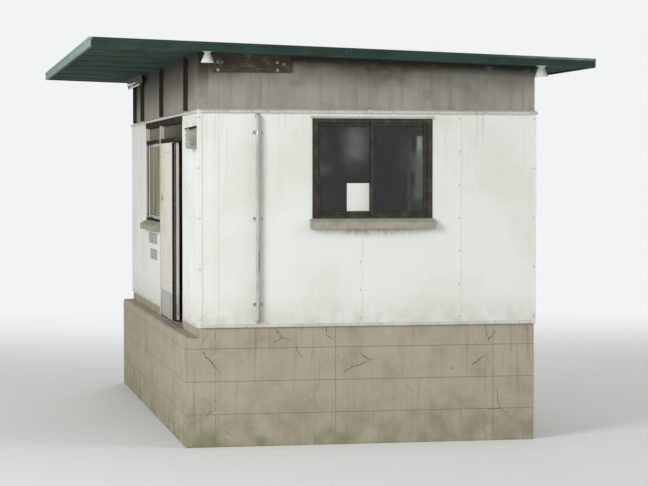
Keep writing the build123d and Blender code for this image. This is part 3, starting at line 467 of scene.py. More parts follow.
# %% Soffit paint
def flat_soffit_paint():
    settings = {"Roughness": 0.95, "IOR": 1.5, "Specular IOR Level": 0.1}
    tree, shader, place = new_finish("flat_soffit_paint", settings)
    thin_coat = patches(tree, place, 260, 0.36, 0.64)
    tide_marks = patches(tree, place, 330, 0.60, 0.64)
    mould = patches(tree, place, 42, 0.58, 0.78)
    colour = coats(
        tree,
        "#344A40",
        ("#3F5448", thin_coat),
        ("#343A32", tide_marks),
        ("#515D52", mould),
    )
    brush_marks = patches(tree, place, 3, 0.2, 0.8, stretch=(14, 1, 1), depth=2.0)
    lay_on(tree, shader, colour, brush_marks, 0.25)


flat_soffit_paint()
dress("flat_soffit_paint", "soffit_board")

# %% [markdown]
# The foundation is concrete, cast in steel form panels 300 mm high and 1500 mm long. The joints of the
# panels leave fine lines, trapped air leaves pores, and sand shows where the cement skin has washed
# off. It is tan where people walk and dark where water stands. Green algae and moss grow on the
# ledges and low down, rain has drawn dark runs from the kerb, and shrinkage has left hairline cracks.
# For the lines, a zigzag of the place is compared with the width of a line. Adding x and y gives the
# upright lines on all four sides at once, since one of the two stays the same along each side. The
# cracks are the borders of large cells, bent by a noise and broken up by another.

# %% Cast concrete
FORM_HEIGHT = 0.30
FORM_LENGTH = 1.50
FORM_LINE = 0.003
CRACK_CELL = 0.9
CRACK_BEND = 0.12
BENDS_PER_METRE = 3.0
CRACK_WIDTH = 0.0022
GROUND_DAMP = 0.45


def form_lines(tree, place):
    """A mask of the level and upright lines between form panels."""
    parts = add(tree, "ShaderNodeSeparateXYZ", {0: place}).outputs
    along = add(tree, "ShaderNodeMath", {0: parts["X"], 1: parts["Y"]}, operation="ADD").outputs[0]
    lines = []
    for way, pitch in ((parts["Z"], FORM_HEIGHT), (along, FORM_LENGTH)):
        zigzag = add(tree, "ShaderNodeMath", {0: way, 1: pitch / 2}, operation="PINGPONG").outputs[0]
        lines.append(add(tree, "ShaderNodeMath", {0: zigzag, 1: FORM_LINE}, operation="LESS_THAN").outputs[0])
    return either(tree, *lines)


def hairline_cracks(tree, place):
    """A mask of fine broken cracks."""
    cloud = {"Vector": place, "Scale": BENDS_PER_METRE, "Detail": 5.0}
    bend = add(tree, "ShaderNodeTexNoise", cloud).outputs["Color"]
    shift = {0: bend, 1: (CRACK_BEND, CRACK_BEND, CRACK_BEND), 2: place}
    bent = add(tree, "ShaderNodeVectorMath", shift, operation="MULTIPLY_ADD").outputs["Vector"]
    inputs = {"Vector": bent, "Scale": 1 / CRACK_CELL}
    border = add(tree, "ShaderNodeTexVoronoi", inputs, feature="DISTANCE_TO_EDGE").outputs["Distance"]
    line = add(tree, "ShaderNodeMath", {0: border, 1: CRACK_WIDTH}, operation="LESS_THAN").outputs[0]
    return patches(tree, place, 330, 0.50, 0.60, within=line)


def cast_concrete():
    settings = {"Roughness": 0.9, "IOR": 1.5, "Specular IOR Level": 0.15}
    tree, shader, place = new_finish("cast_concrete", settings)
    damp = rise(tree, place, GROUND_DAMP, 0.0)
    upward = ledges(tree)
    cooler = patches(tree, place, 650, 0.25, 0.75, depth=8.0)
    mottled = patches(tree, place, 45, 0.30, 0.80, depth=6.0)
    sand = patches(tree, place, 4, 0.45, 0.70, depth=2.0)
    runs = patches(tree, place, 38, 0.50, 1.05, stretch=(1, 1, 16), depth=6.0)
    water_marks = patches(tree, place, 240, 0.40, 1.10, depth=9.0)
    low_moss = patches(tree, place, 150, 0.20, 0.90, within=damp, depth=9.0)
    ledge_moss = patches(tree, place, 50, 0.50, 0.80, within=upward, depth=8.0)
    bloom = patches(tree, place, 70, 0.62, 0.95, depth=8.0)
    chipped = patches(tree, place, 30, 0.42, 0.58, within=worn_edges(tree, 10))
    pores = patches(tree, place, 7, 0.72, 0.78)
    lines = form_lines(tree, place)
    cracks = hairline_cracks(tree, place)
    colour = coats(
        tree,
        "#B5AC98",
        ("#A19B8B", cooler),
        ("#ADA491", mottled),
        ("#BDB4A0", sand),
        ("#857E6C", water_marks),
        ("#6F6957", runs),
        ("#CBC4B4", bloom),
        ("#747C58", low_moss),
        ("#6B7049", ledge_moss),
        ("#8A7F6B", chipped),
        ("#8F8775", lines),
        ("#6A6454", pores),
        ("#4F4A3E", cracks),
    )
    surface = sand
    for hollow in (lines, pores, cracks):
        surface = add(tree, "ShaderNodeMath", {0: surface, 1: hollow}, operation="SUBTRACT").outputs[0]
    lay_on(tree, shader, colour, surface, 1.2)


cast_concrete()
dress("cast_concrete", "platform_footing", "road_footing", "end_footings")

# %% [markdown]
# Inside, the floor was trowelled smooth and has been walked on ever since, and the window sills
# outside are a grey cement mortar with a wood-float finish. Both are finer and cooler than the walls
# of the foundation.

# %% Trowelled floor and mortar sills
def trowelled_floor():
    tree, shader, place = new_finish("trowelled_floor", {"Roughness": 0.6, "IOR": 1.5})
    polish = patches(tree, place, 500, 0.40, 0.66)
    dust = patches(tree, place, 60, 0.50, 0.72)
    colour = coats(tree, "#8F8A7D", ("#7A766A", polish), ("#A19A89", dust))
    trowel = patches(tree, place, 90, 0.2, 0.8, stretch=(1, 3, 1), depth=3.0)
    lay_on(tree, shader, colour, trowel, 0.6)


def floated_mortar():
    tree, shader, place = new_finish("floated_mortar", {"Roughness": 0.88, "IOR": 1.5})
    sand = patches(tree, place, 3, 0.42, 0.70, depth=2.0)
    drips = patches(tree, place, 26, 0.50, 1.00, stretch=(1, 1, 5), depth=6.0)
    grime = patches(tree, place, 150, 0.35, 0.95, depth=8.0)
    moss = patches(tree, place, 30, 0.55, 0.80, within=ledges(tree), depth=7.0)
    colour = coats(
        tree,
        "#A39F8F",
        ("#AFAB9D", sand),
        ("#827D6A", grime),
        ("#716C5A", drips),
        ("#707650", moss),
    )
    lay_on(tree, shader, colour, sand, 0.8)


trowelled_floor()
floated_mortar()
dress("trowelled_floor", "floor_slab")
dress("floated_mortar", "window_sills")

# %% [markdown]
# The window frames and sashes are drawn aluminium with a bronze anodised skin. Anodising keeps a metal's
# sheen but takes its mirror away, so the roughness is well above bare metal. Drawing leaves hair lines
# along the bar, and forty years leave grey bloom and white salt specks. The window beside the door is
# newer and has the natural silver skin, so its place on the wall picks that coat.

# %% Anodised aluminium
def bronze_aluminium():
    settings = {"Metallic": 0.85, "Roughness": 0.42}
    tree, shader, place = new_finish("bronze_anodised_aluminium", settings)
    bloom = patches(tree, place, 80, 0.40, 0.80, depth=6.0)
    salts = patches(tree, place, 6, 0.68, 0.76)
    grime = patches(tree, place, 30, 0.50, 0.80, stretch=(1, 1, 6))
    colour = coats(
        tree,
        "#3E3B35",
        ("#55514A", bloom),
        ("#A9A9A3", on_platform_side(tree, place)),
        ("#2C2A25", grime),
        ("#8B877C", salts),
    )
    hair_lines = patches(tree, place, 1.2, 0.2, 0.8, stretch=(30, 30, 1), depth=2.0)
    lay_on(tree, shader, colour, hair_lines, 0.05)


bronze_aluminium()
dress("bronze_anodised_aluminium", "window_jambs", "window_rails", "window_sashes")

# %% [markdown]
# Float glass is clear, but a pane of this age carries a film of brown iron dust, and the dark room
# behind makes it read as nearly black. The film is the tint of the glass here, and a slow
# noise on the roughness gives the wiped and unwiped parts. A painted reflection, a pale haze that lets
# less light through, hangs in the upper half of one near pane. Clean soda-lime glass has an IOR of 1.52.
# Dirt takes part of the mirror away, so the IOR here is matched down to 1.4, and it is set straight on
# the shader, where an export keeps it. The transoms over the door are painted shade: dull, opaque dark
# grey that stands in for the dark room seen through them, lighter towards the far end, so they are a
# finish of their own.

# %% Dusty float glass and the painted shade of the transoms
REFLECTION_PLACE = (0.15, NEAR_FACE, 2.76)
REFLECTION_REACH = (0.19, 0.3, 0.34)
REFLECTION_SHARE = 0.14
CLEAN_ROUGHNESS = 0.04
DUSTY_ROUGHNESS = 0.30
TRANSOM_LIGHTER_FROM = -1.2
TRANSOM_LIGHTER_TO = 0.6


def dusty_glass_and_reflection():
    tree, shader, place = new_finish("dusty_glass_and_painted_reflection", {"IOR": 1.4, "Specular IOR Level": 0.5})
    dust = patches(tree, place, 240, 0.35, 0.80, depth=6.0)
    drips = patches(tree, place, 16, 0.56, 0.90, stretch=(1, 1, 20))
    colour = coats(tree, "#D2D5CD", ("#BCBFB4", dust), ("#C5C3B2", drips))
    # Painted reflection: a pale haze in the upper half of one near pane.
    reflection_area = around(tree, place, REFLECTION_PLACE, REFLECTION_REACH)
    painted_reflection = patches(tree, place, 150, 0.10, 0.60, within=reflection_area, depth=6.0)
    clear = add(tree, "ShaderNodeMapRange", {"Value": painted_reflection, "To Min": 1.0, "To Max": 1.0 - REFLECTION_SHARE})
    tree.links.new(clear.outputs[RESULT], shader.inputs["Transmission Weight"])
    limits = {"Value": dust, "To Min": CLEAN_ROUGHNESS, "To Max": DUSTY_ROUGHNESS}
    smear = add(tree, "ShaderNodeMapRange", limits)
    tree.links.new(smear.outputs[RESULT], shader.inputs["Roughness"])
    waves = patches(tree, place, 300, 0.2, 0.8, depth=1.0)
    lay_on(tree, shader, colour, waves, 0.4)


def transom_painted_shade():
    settings = {"Roughness": 0.7, "IOR": 1.52, "Specular IOR Level": DEAD}
    tree, shader, place = new_finish("painted_shade_transom_glass", settings)
    # Painted shade: opaque dark grey in place of the dark room behind, lighter towards the far end.
    lighter_far = rise(tree, place, TRANSOM_LIGHTER_FROM, TRANSOM_LIGHTER_TO, "Y")
    rain_spots = patches(tree, place, 12, 0.50, 0.75, depth=6.0)
    wiped = patches(tree, place, 90, 0.30, 0.75, stretch=(1, 2, 1), within=0.5)
    colour = coats(
        tree,
        "#4B4942",
        ("#8B887D", lighter_far),
        ("#5E5B52", wiped),
        ("#7C7A70", rain_spots),
    )
    lay_on(tree, shader, colour, rain_spots, 0.05)


dusty_glass_and_reflection()
transom_painted_shade()
dress("dusty_glass_and_painted_reflection", "window_glass")
dress("painted_shade_transom_glass", "transom_glass")

# %% [markdown]
# The rainwater pipe and the conduit are extruded PVC, a dielectric with an IOR near 1.53. New pipe is
# glossy. Sun and frost have dulled this one and bleached it in bands, and dirt sticks where it runs.
# The saddles on it are hot-dip galvanised strip, whose zinc freezes in spangles about a centimetre
# across. A cell pattern gives the spangles, each with its own grey.

# %% Weathered PVC and galvanised strip
SPANGLE = 9


def weathered_pvc():
    tree, shader, place = new_finish("weathered_pvc", {"Roughness": 0.5, "IOR": 1.53})
    bleach_and_highlight = patches(tree, place, 220, 0.38, 0.66)
    runs = patches(tree, place, 12, 0.50, 0.76, stretch=(1, 1, 26))
    colour = coats(tree, "#A0A19A", ("#B2B2AA", bleach_and_highlight), ("#76746A", runs))
    skin = patches(tree, place, 6, 0.2, 0.8, depth=2.0)
    lay_on(tree, shader, colour, skin, 0.1)


def galvanised_strip():
    tree, shader, place = new_finish("galvanised_strip", {"Metallic": 0.9, "Roughness": 0.45})
    cells = add(tree, "ShaderNodeTexVoronoi", {"Vector": place, "Scale": 1 / (SPANGLE * MM)})
    shade = add(tree, "ShaderNodeSeparateXYZ", {0: cells.outputs["Color"]}).outputs["X"]
    white_rust = patches(tree, place, 18, 0.56, 0.72)
    red_rust = patches(tree, place, 14, 0.64, 0.72, within=worn_edges(tree, 4))
    colour = coats(
        tree,
        "#8E9090",
        ("#B4B5B3", shade),
        ("#C4C3BC", white_rust),
        ("#704A33", red_rust),
    )
    lay_on(tree, shader, colour, shade, 0.08)


weathered_pvc()
galvanised_strip()
dress("weathered_pvc", "downpipe", "service_conduit")
dress("galvanised_strip", "pipe_clips")

# %% [markdown]
# The lamp shades are pressed steel with fired enamel, which is glass on metal: smooth, hard and a
# little orange-peeled. It chips at the rim, where rust shows, and the trough on the platform side is
# grey with iron dust. The bulb in each is frosted glass, and the knobs on the board are glazed porcelain
# with a brown glaze.

# %% Fired enamel, frosted glass and porcelain
OVER_PLATFORM = PLATFORM_FACE - 0.010


def fired_enamel():
    settings = {"Roughness": 0.18, "IOR": 1.5, "Coat Weight": 0.3, "Coat Roughness": 0.08}
    tree, shader, place = new_finish("fired_enamel", settings)
    chips = patches(tree, place, 9, 0.50, 0.60, within=worn_edges(tree, 5))
    dust = patches(tree, place, 30, 0.50, 0.84)
    over_platform = rise(tree, place, OVER_PLATFORM, OVER_PLATFORM - 2 * MM, "X")
    iron_dust = patches(tree, place, 180, -0.20, 0.50, within=over_platform)
    colour = coats(
        tree,
        "#F6F6F1",
        ("#DAD7CB", dust),
        ("#85837A", iron_dust),
        ("#5A3A28", chips),
    )
    peel = patches(tree, place, 6, 0.2, 0.8, depth=1.0)
    lay_on(tree, shader, colour, peel, 0.02)


def frosted_bulb():
    settings = {"Roughness": 0.35, "IOR": 1.5, "Transmission Weight": 0.5}
    tree, shader, place = new_finish("frosted_bulb_glass", settings)
    dust = patches(tree, place, 12, 0.4, 0.7)
    colour = coats(tree, "#EEEBE0", ("#D2CDBC", dust))
    lay_on(tree, shader, colour, dust, 0.05)


def brown_porcelain():
    settings = {"Roughness": 0.12, "IOR": 1.5, "Coat Weight": 0.5, "Coat Roughness": 0.05}
    tree, shader, place = new_finish("brown_porcelain", settings)
    pooled = patches(tree, place, 10, 0.35, 0.65)
    colour = coats(tree, "#6B5C50", ("#4C3D33", pooled))
    lay_on(tree, shader, colour, pooled, 0.1)


fired_enamel()
frosted_bulb()
brown_porcelain()
dress("fired_enamel", "lamp_shades")
dress("frosted_bulb_glass", "lamp_bulbs")
dress("brown_porcelain", "board_insulators")

# %% [markdown]
# The board under the near eave is sawn cedar with a brown stain that has nearly gone. Grain is rings
# cut along the tree, so in a board it shows as long lines a few millimetres apart. Noise drawn out
# along x gives them, and a second, wider one gives the bands of early and late wood.

# %% Stained cedar
def stained_cedar():
    tree, shader, place = new_finish("stained_cedar", {"Roughness": 0.8, "IOR": 1.5})
    grain = patches(tree, place, 4, 0.35, 0.65, stretch=(40, 1, 1))
    bands = patches(tree, place, 16, 0.35, 0.65, stretch=(30, 1, 1))
    silvered = patches(tree, place, 90, 0.52, 0.76)
    colour = coats(
        tree,
        "#4E423A",
        ("#62544A", bands),
        ("#352B25", grain),
        ("#7A716A", silvered),
    )
    lay_on(tree, shader, colour, grain, 0.5)


stained_cedar()
dress("stained_cedar", "cable_board")

# %% [markdown]
# The door sill and the kick plates are brushed stainless steel, grey and scratched along the way people
# walk. The cups in the leaves are the same metal, but years of hands have darkened them, and only the
# rim is bright.

# %% Brushed and handled stainless steel
def brushed_stainless():
    tree, shader, place = new_finish("brushed_stainless", {"Metallic": 1.0, "Roughness": 0.38})
    smears = patches(tree, place, 90, 0.35, 0.85, depth=6.0)
    scrapes = patches(tree, place, 10, 0.60, 0.80, stretch=(1, 9, 1), depth=6.0)
    colour = coats(tree, "#A9A7A1", ("#88857D", smears), ("#5F5A50", scrapes))
    hair_lines = patches(tree, place, 0.9, 0.2, 0.8, stretch=(1, 40, 1), depth=1.0)
    lay_on(tree, shader, colour, hair_lines, 0.04)


def handled_stainless():
    tree, shader, place = new_finish("handled_stainless", {"Metallic": 1.0, "Roughness": 0.35})
    tarnish = patches(tree, place, 12, 0.35, 0.65)
    rim = worn_edges(tree, 2)
    colour = coats(tree, "#4A4743", ("#2B2926", tarnish), ("#A8A59E", rim))
    hair_lines = patches(tree, place, 0.8, 0.2, 0.8, stretch=(1, 20, 1), depth=1.0)
    lay_on(tree, shader, colour, hair_lines, 0.03)


brushed_stainless()
handled_stainless()
dress("brushed_stainless", "door_sill")
dress("handled_stainless", "outer_door_pulls", "inner_door_pulls")

# %% [markdown]
# Gaskets, the dark edge strips and the fillet under the soffit are black synthetic rubber. Outdoors it
# goes grey with a chalky bloom and crazes into fine cracks, so it is dull rather than glossy.

# %% Weathered rubber
def weathered_rubber():
    settings = {"Roughness": 0.8, "IOR": 1.52, "Specular IOR Level": 0.15}
    tree, shader, place = new_finish("weathered_rubber", settings)
    chalk = patches(tree, place, 30, 0.35, 0.80, depth=6.0)
    cracks = patches(tree, place, 2, 0.60, 0.72)
    colour = coats(tree, "#262523", ("#3A3936", chalk), ("#161514", cracks))
    lay_on(tree, shader, colour, chalk, 0.1)


weathered_rubber()

# %% [markdown]
# The solids have razor edges, and nothing real has. A bent sheet turns over a radius of a millimetre or
# two, and a concrete arris is softer still. A Bevel modifier rounds them without touching the solid's
# own vertices. The mesh comes with its faces apart, so a Weld modifier joins them first, or there would
# be no edge to round.

# %% Soften the edges of the solids
EDGE_ANGLE = math.radians(40)
FACE_GAP = 0.02 * MM
EDGE_RADIUS = {
    6.0: ["platform_footing", "road_footing", "end_footings", "window_sills"],
    2.0: ["near_wall", "far_wall", "road_wall", "platform_near_pier", "platform_far_pier"],
    1.5: ["platform_spandrel", "platform_lintel", "frame_posts", "frame_rails", "band_mullions"],
    1.2: ["trim_rails", "platform_fascia", "road_fascia", "end_fascias", "cable_board", "wall_box"],
    0.8: ["window_jambs", "window_rails", "window_sashes", "corner_trims", "roof_deck"],
    0.5: ["outer_door_leaf", "inner_door_leaf", "door_sill", "gutter_sides"],
}

for radius, nodes in EDGE_RADIUS.items():
    for node in nodes:
        weld = NODES[node].modifiers.new("join_faces", "WELD")
        weld.merge_threshold = FACE_GAP
        bevel = NODES[node].modifiers.new("soft_edges", "BEVEL")
        bevel.width = radius * MM
        bevel.segments = 2
        bevel.limit_method = "ANGLE"
        bevel.angle_limit = EDGE_ANGLE
    print(radius, "mm on", len(nodes), "nodes")

# %% [markdown]
# Everything that follows is made with three small tools. The first draws a section out along a
# straight line, like a length of trim from the shop. The second runs a section round a closed frame and
# mitres it at the corners, like a gasket round a pane. The third turns an outline about an axis, like
# a screw head or a pipe socket. Sections are in millimetres, as (across, out) from the surface. Most of
# them are flat bars, so a helper works those out.

# %% Three tools for strips, frames and turned pieces
UP = Vector((0, 0, 1))
TURN_STEPS = 12


def flat_bar(width, thick, slant=0, side=0):
    """The section of a bar whose outer corners are cut by a slant, down to the height of its sides."""
    half = width / 2
    section = [(-half, 0), (half, 0), (half, side), (half - slant, thick)]
    section += [(slant - half, thick), (-half, side)]
    return list(dict.fromkeys(section))


def set_out(mesh, section, point, across, outward):
    """Sets out the points of a section at a place, along two directions."""
    return [mesh.verts.new(point + across * side * MM + outward * out * MM) for side, out in section]


def join_rings(mesh, ring, following):
    """Joins two rings of as many points with a band of faces."""
    for first in range(len(ring)):
        mesh.faces.new((ring[first - 1], ring[first], following[first], following[first - 1]))


def draw_strip(mesh, section, start, end, outward):
    """Draws a section out from start to end, standing on a surface that faces outward."""
    across = outward.cross((end - start).normalized())
    first, last = [set_out(mesh, section, point, across, outward) for point in (start, end)]
    join_rings(mesh, first, last)
    mesh.faces.new(first[::-1])
    mesh.faces.new(last)


def stand_strip(mesh, section, foot, height, outward):
    """Draws a section straight up from its foot."""
    draw_strip(mesh, section, foot, foot + UP * height, outward)


def draw_level(mesh, section, start, end, outward):
    """Draws a section along a wall, from the end that makes its first number point up."""
    if UP.cross(outward).dot(end - start) < 0:
        start, end = end, start
    draw_strip(mesh, section, start, end, outward)


def mitre_frame(mesh, section, corners, outward):
    """Runs a section of (inward, out) points round a closed frame of corners."""
    rings = []
    for place, corner in enumerate(corners):
        back = (corners[place - 1] - corner).normalized()
        ahead = (corners[(place + 1) % len(corners)] - corner).normalized()
        rings.append(set_out(mesh, section, corner, back + ahead, outward))
    for place, ring in enumerate(rings):
        join_rings(mesh, rings[place - 1], ring)


def turn_piece(mesh, outline, seat, axis, steps=TURN_STEPS):
    """Turns an outline of (radius, height) points about an axis that starts at the seat."""
    side = axis.orthogonal().normalized()
    other = axis.cross(side)
    turns = [2 * math.pi * step / steps for step in range(steps)]
    spokes = [side * math.cos(turn) + other * math.sin(turn) for turn in turns]
    rings = []
    for radius, height in outline:
        middle = seat + axis * height * MM
        ring = [middle + spoke * radius * MM for spoke in spokes] if radius else [middle]
        rings.append([mesh.verts.new(point) for point in ring])
    for lower, upper in zip(rings, rings[1:]):
        for step in range(steps):
            corners = [lower[step % len(lower)], lower[(step + 1) % len(lower)]]
            corners += [upper[(step + 1) % len(upper)], upper[step % len(upper)]]
            mesh.faces.new(list(dict.fromkeys(corners)))


def put_in_scene(name, data):
    """Makes an object of a mesh, a lamp or a camera, and links it to the scene."""
    thing = bpy.data.objects.new(name, data)
    bpy.context.scene.collection.objects.link(thing)
    return thing


def new_piece(name, mesh, finish, body="building"):
    """Makes an object of a finished mesh, which rides on its body and takes a finish."""
    bmesh.ops.recalc_face_normals(mesh, faces=mesh.faces)
    data = bpy.data.meshes.new(name)
    mesh.to_mesh(data)
    mesh.free()
    data.materials.append(bpy.data.materials[finish])
    piece = put_in_scene(name, data)
    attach(piece, body)
    print(name, len(data.polygons), "faces")


# %% [markdown]
# Most fittings stand on the side of some box: the walls, the band over them, the room inside, a pane or
# a door leaf. So a place is given as a side, how far along it and how high, and one function turns that
# into a point on any box. The boxes come from the solids.

# %% Sides, boxes and places on them
NEAR = Vector((0, -1, 0))
FAR = Vector((0, 1, 0))
PLATFORM = Vector((-1, 0, 0))
ROAD = Vector((1, 0, 0))
SIDES = (NEAR, FAR, PLATFORM, ROAD)
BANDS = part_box("end_bands")
ROOM = (Vector((band_high.x, band_low.y, FLOOR_TOP)), Vector((road_band_low.x, band_high.y, WALL_TOP)))


def level_axis(outward):
    """Which axis runs level along a side, 0 for x or 1 for y."""
    return 0 if outward.y else 1


def on_side(outward, across, height, box=WALLS):
    """A point on the side of a box that looks this way, at its x or y and its height."""
    level = level_axis(outward)
    square = 1 - level
    corner = box[1] if outward[square] > 0 else box[0]
    point = Vector((0, 0, height))
    point[level] = across
    point[square] = corner[square]
    return point


def line_on(outward, box, height, inset=0.0):
    """The two ends of a level line along a side, this far in from its corners."""
    level = level_axis(outward)
    ends = (box[0][level] + inset, box[1][level] - inset)
    return [on_side(outward, across, height, box) for across in ends]


def corners_of(left, right, low, high):
    """The four corners of a rectangle, in order."""
    return [(left, low), (right, low), (right, high), (left, high)]


def ring_on(outward, box):
    """The four corners of the side of a box that looks this way."""
    level = level_axis(outward)
    corners = corners_of(box[0][level], box[1][level], box[0].z, box[1].z)
    return [on_side(outward, across, height, box) for across, height in corners]


def outward_of(low, high):
    """The way that a thin upright box on a wall looks."""
    if high.x - low.x > high.y - low.y:
        return NEAR if low.y < 0 else FAR
    return PLATFORM if low.x < 0 else ROAD


def boxes_on(outward, boxes):
    """Those boxes that look this way."""
    return [box for box in boxes if outward_of(*box) == outward]


def evenly(start, end, pitch):
    """Places from start to end, at the nearest even spacing to the pitch."""
    gaps = max(1, round((end - start) / pitch))
    return [start + (end - start) * step / gaps for step in range(gaps + 1)]


def row(start, end, pitch):
    """Points from start to end, spaced in the same way."""
    steps = evenly(0, (end - start).length, pitch)
    return [start + (end - start).normalized() * step for step in steps]


print("the room is", rounded(ROOM[1] - ROOM[0]), "inside")

# %% [markdown]
# The foot of each wall has a folded flashing that throws rain clear of the concrete. It is one section
# drawn along the wall, with a drip at its lower edge, and it stops at the doorway.

# %% Base flashing
FLASHING_HEIGHT = 30
FLASHING = [(FLASHING_HEIGHT, 0), (FLASHING_HEIGHT, 1.5), (6, 2), (1, 8), (0, 7), (1, 0)]
CORNER_INSET = 0.041
near_post, far_post, far_jamb = loose_boxes("frame_posts")[:3]
DOORWAY = (near_post[0].y, far_post[1].y)


def wall_runs(box, height, inset=0.0):
    """The sides of a box with a level line along each, left open at the doorway."""
    runs = [(outward, *line_on(outward, box, height, inset)) for outward in (NEAR, FAR, ROAD)]
    start, end = line_on(PLATFORM, box, height, inset)
    door_start, door_end = [on_side(PLATFORM, y, height, box) for y in DOORWAY]
    return runs + [(PLATFORM, start, door_start), (PLATFORM, door_end, end)]


mesh = bmesh.new()
for outward, start, end in wall_runs(WALLS, KERB_TOP, CORNER_INSET):
    draw_level(mesh, FLASHING, start, end, outward)
new_piece("base_flashing", mesh, "grey_trim_enamel")

# %% [markdown]
# Sheet cladding comes in widths of about 940 mm, and where two sheets meet a folded cover strip hides
# the joint. The strips stop at a window and go on below its sill. A strip could be cut by a boolean
# with the window, but it is simpler to ask for the heights that are free and draw one length for each.
# On the near end the conduit runs down over one of the joints, so no strip goes there.

# %% Cover strips on the wall joints
FIRST_JOINT = 0.563
SHEET_WIDTH = 0.94
LEAST_LENGTH = 0.03
STRIP_THICKNESS = 3
STRIP = flat_bar(38, STRIP_THICKNESS, 1.5)
CORNER_PLATE = flat_bar(84, 2.5, 1.5)
CORNER_PLATE_X = PLATFORM_FACE + 0.148
HOOD_ROOM = 0.02
WINDOW_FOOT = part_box("window_rails")[0].z
WINDOW_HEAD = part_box("window_rails")[1].z
STRIP_LOW = KERB_TOP + FLASHING_HEIGHT * MM
trim_low, trim_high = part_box("trim_rails")
conduit_low, conduit_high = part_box("service_conduit")
far_pier_low, far_pier_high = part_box("platform_far_pier")
sill_boxes = loose_boxes("window_sills")


def joints_from(start, end):
    """Joint places at the sheet width, from the near or the platform corner."""
    places = []
    place = start + FIRST_JOINT
    while place < end - CORNER_INSET * 2:
        places.append(place)
        place += SHEET_WIDTH
    return places


def under_conduit(x):
    return conduit_low.x - LEAST_LENGTH < x < conduit_high.x + LEAST_LENGTH


def free_heights(outward, across):
    """The heights of a wall that a strip may cover, without the windows and their sills."""
    level = level_axis(outward)
    for low, high in boxes_on(outward, sill_boxes):
        if low[level] < across < high[level]:
            return [(STRIP_LOW, low.z), (WINDOW_HEAD + HOOD_ROOM, trim_low.z)]
    return [(STRIP_LOW, trim_low.z)]


x_joints = joints_from(PLATFORM_FACE, ROAD_FACE)
y_joints = joints_from(NEAR_FACE, FAR_FACE)
wall_joints = [(NEAR, x) for x in x_joints if not under_conduit(x)]
wall_joints += [(FAR, x) for x in x_joints] + [(ROAD, y) for y in y_joints]
wall_joints += [(PLATFORM, y) for y in (y_joints[0], (far_pier_low.y + far_pier_high.y) / 2)]
joint_lengths = []
for outward, across in wall_joints:
    for low, high in free_heights(outward, across):
        if high - low > LEAST_LENGTH:
            joint_lengths.append((on_side(outward, across, low), on_side(outward, across, high), outward))

mesh = bmesh.new()
for start, end, outward in joint_lengths:
    draw_strip(mesh, STRIP, start, end, outward)
new_piece("wall_joint_strips", mesh, "rolled_wall_paint")

mesh = bmesh.new()
for outward in (NEAR, FAR):
    foot = on_side(outward, CORNER_PLATE_X, STRIP_LOW)
    stand_strip(mesh, CORNER_PLATE, foot, trim_low.z - STRIP_LOW, outward)
new_piece("corner_joint_plates", mesh, "rolled_wall_paint")

# %% [markdown]
# Sheet is held by self-drilling screws with a hexagon head on a wide washer. Six sides are enough for a
# turned head, since the real one has six too. They sit along the cover strips, the corner angles and
# the trim rail, each row a hand's breadth from its ends.

# %% Cladding screws
HEX_HEAD = [(0, 0), (7.5, 0), (7.5, 1.2), (4.6, 1.6), (4.6, 4.6), (0, 5.2)]
HEX_SIDES = 6
END_GAP = 0.045
STRIP_SCREWS = 0.30
CORNER_SCREWS = 0.45
TRIM_SCREWS = 0.42


def screws(mesh, start, end, outward, pitch):
    """A row of screw heads between two points, a little in from both."""
    along = (end - start).normalized() * END_GAP
    for seat in row(start + along, end - along, pitch):
        turn_piece(mesh, HEX_HEAD, seat, outward, HEX_SIDES)


mesh = bmesh.new()
for start, end, outward in joint_lengths:
    if (end - start).length > END_GAP * 2:
        proud = outward * STRIP_THICKNESS * MM
        screws(mesh, start + proud, end + proud, outward, STRIP_SCREWS)
new_piece("cladding_screws", mesh, "galvanised_strip")

mesh = bmesh.new()
for low, high in loose_boxes("corner_trims"):
    for outward in (PLATFORM if low.x < 0 else ROAD, NEAR if low.y < 0 else FAR):
        middle = (low + high)[level_axis(outward)] / 2
        heights = (low.z + FLASHING_HEIGHT * MM, high.z)
        start, end = [on_side(outward, middle, height, (low, high)) for height in heights]
        screws(mesh, start, end, outward, CORNER_SCREWS)
new_piece("corner_screws", mesh, "galvanised_strip")

# %% [markdown]
# The trim rail is made of lengths with a sleeve over each joint, and it has its own screws. The sleeve
# is a thin plate on the rail's face. The rail's boxes give its outer faces.

# %% Sleeves and screws of the trim rail
SLEEVE = flat_bar(48, 1.2, 1)
RAIL_LENGTH = 1.55
SLEEVE_MARGIN = 2 * MM

sleeves, heads = bmesh.new(), bmesh.new()
for box in loose_boxes("trim_rails"):
    outward = outward_of(*box)
    low, high = box[0].z + SLEEVE_MARGIN, box[1].z - SLEEVE_MARGIN
    for foot in row(*line_on(outward, box, low), RAIL_LENGTH)[1:-1]:
        stand_strip(sleeves, SLEEVE, foot, high - low, outward)
    screws(heads, *line_on(outward, box, (low + high) / 2), outward, TRIM_SCREWS)
new_piece("trim_sleeves", sleeves, "grey_trim_enamel")
new_piece("trim_screws", heads, "galvanised_strip")

# %% [markdown]
# The grey band has joints of its own, in line with those below, and a wide plate near the platform
# corner. On the platform side each dark upright has a light packing strip beside it. A rubber fillet
# closes the corner between band and soffit. It follows the slope, so it is drawn from point to point
# under the soffit.

# %% Band joints, packing strips and eave fillets
BAND_STRIP = flat_bar(34, 2.5, 1.5)
PACKING = [(-9, 0), (9, 0), (9, 12), (7, 14), (-7, 14), (-9, 12)]
PACKING_HALF = 9 * MM
FILLET = [(0, 0), (0, 20), (-6, 19), (-20, 6), (-20, 0)]
FILLET_ROOM = 0.02
BOARD_ROOM = 0.05
board_low, board_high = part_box("cable_board")


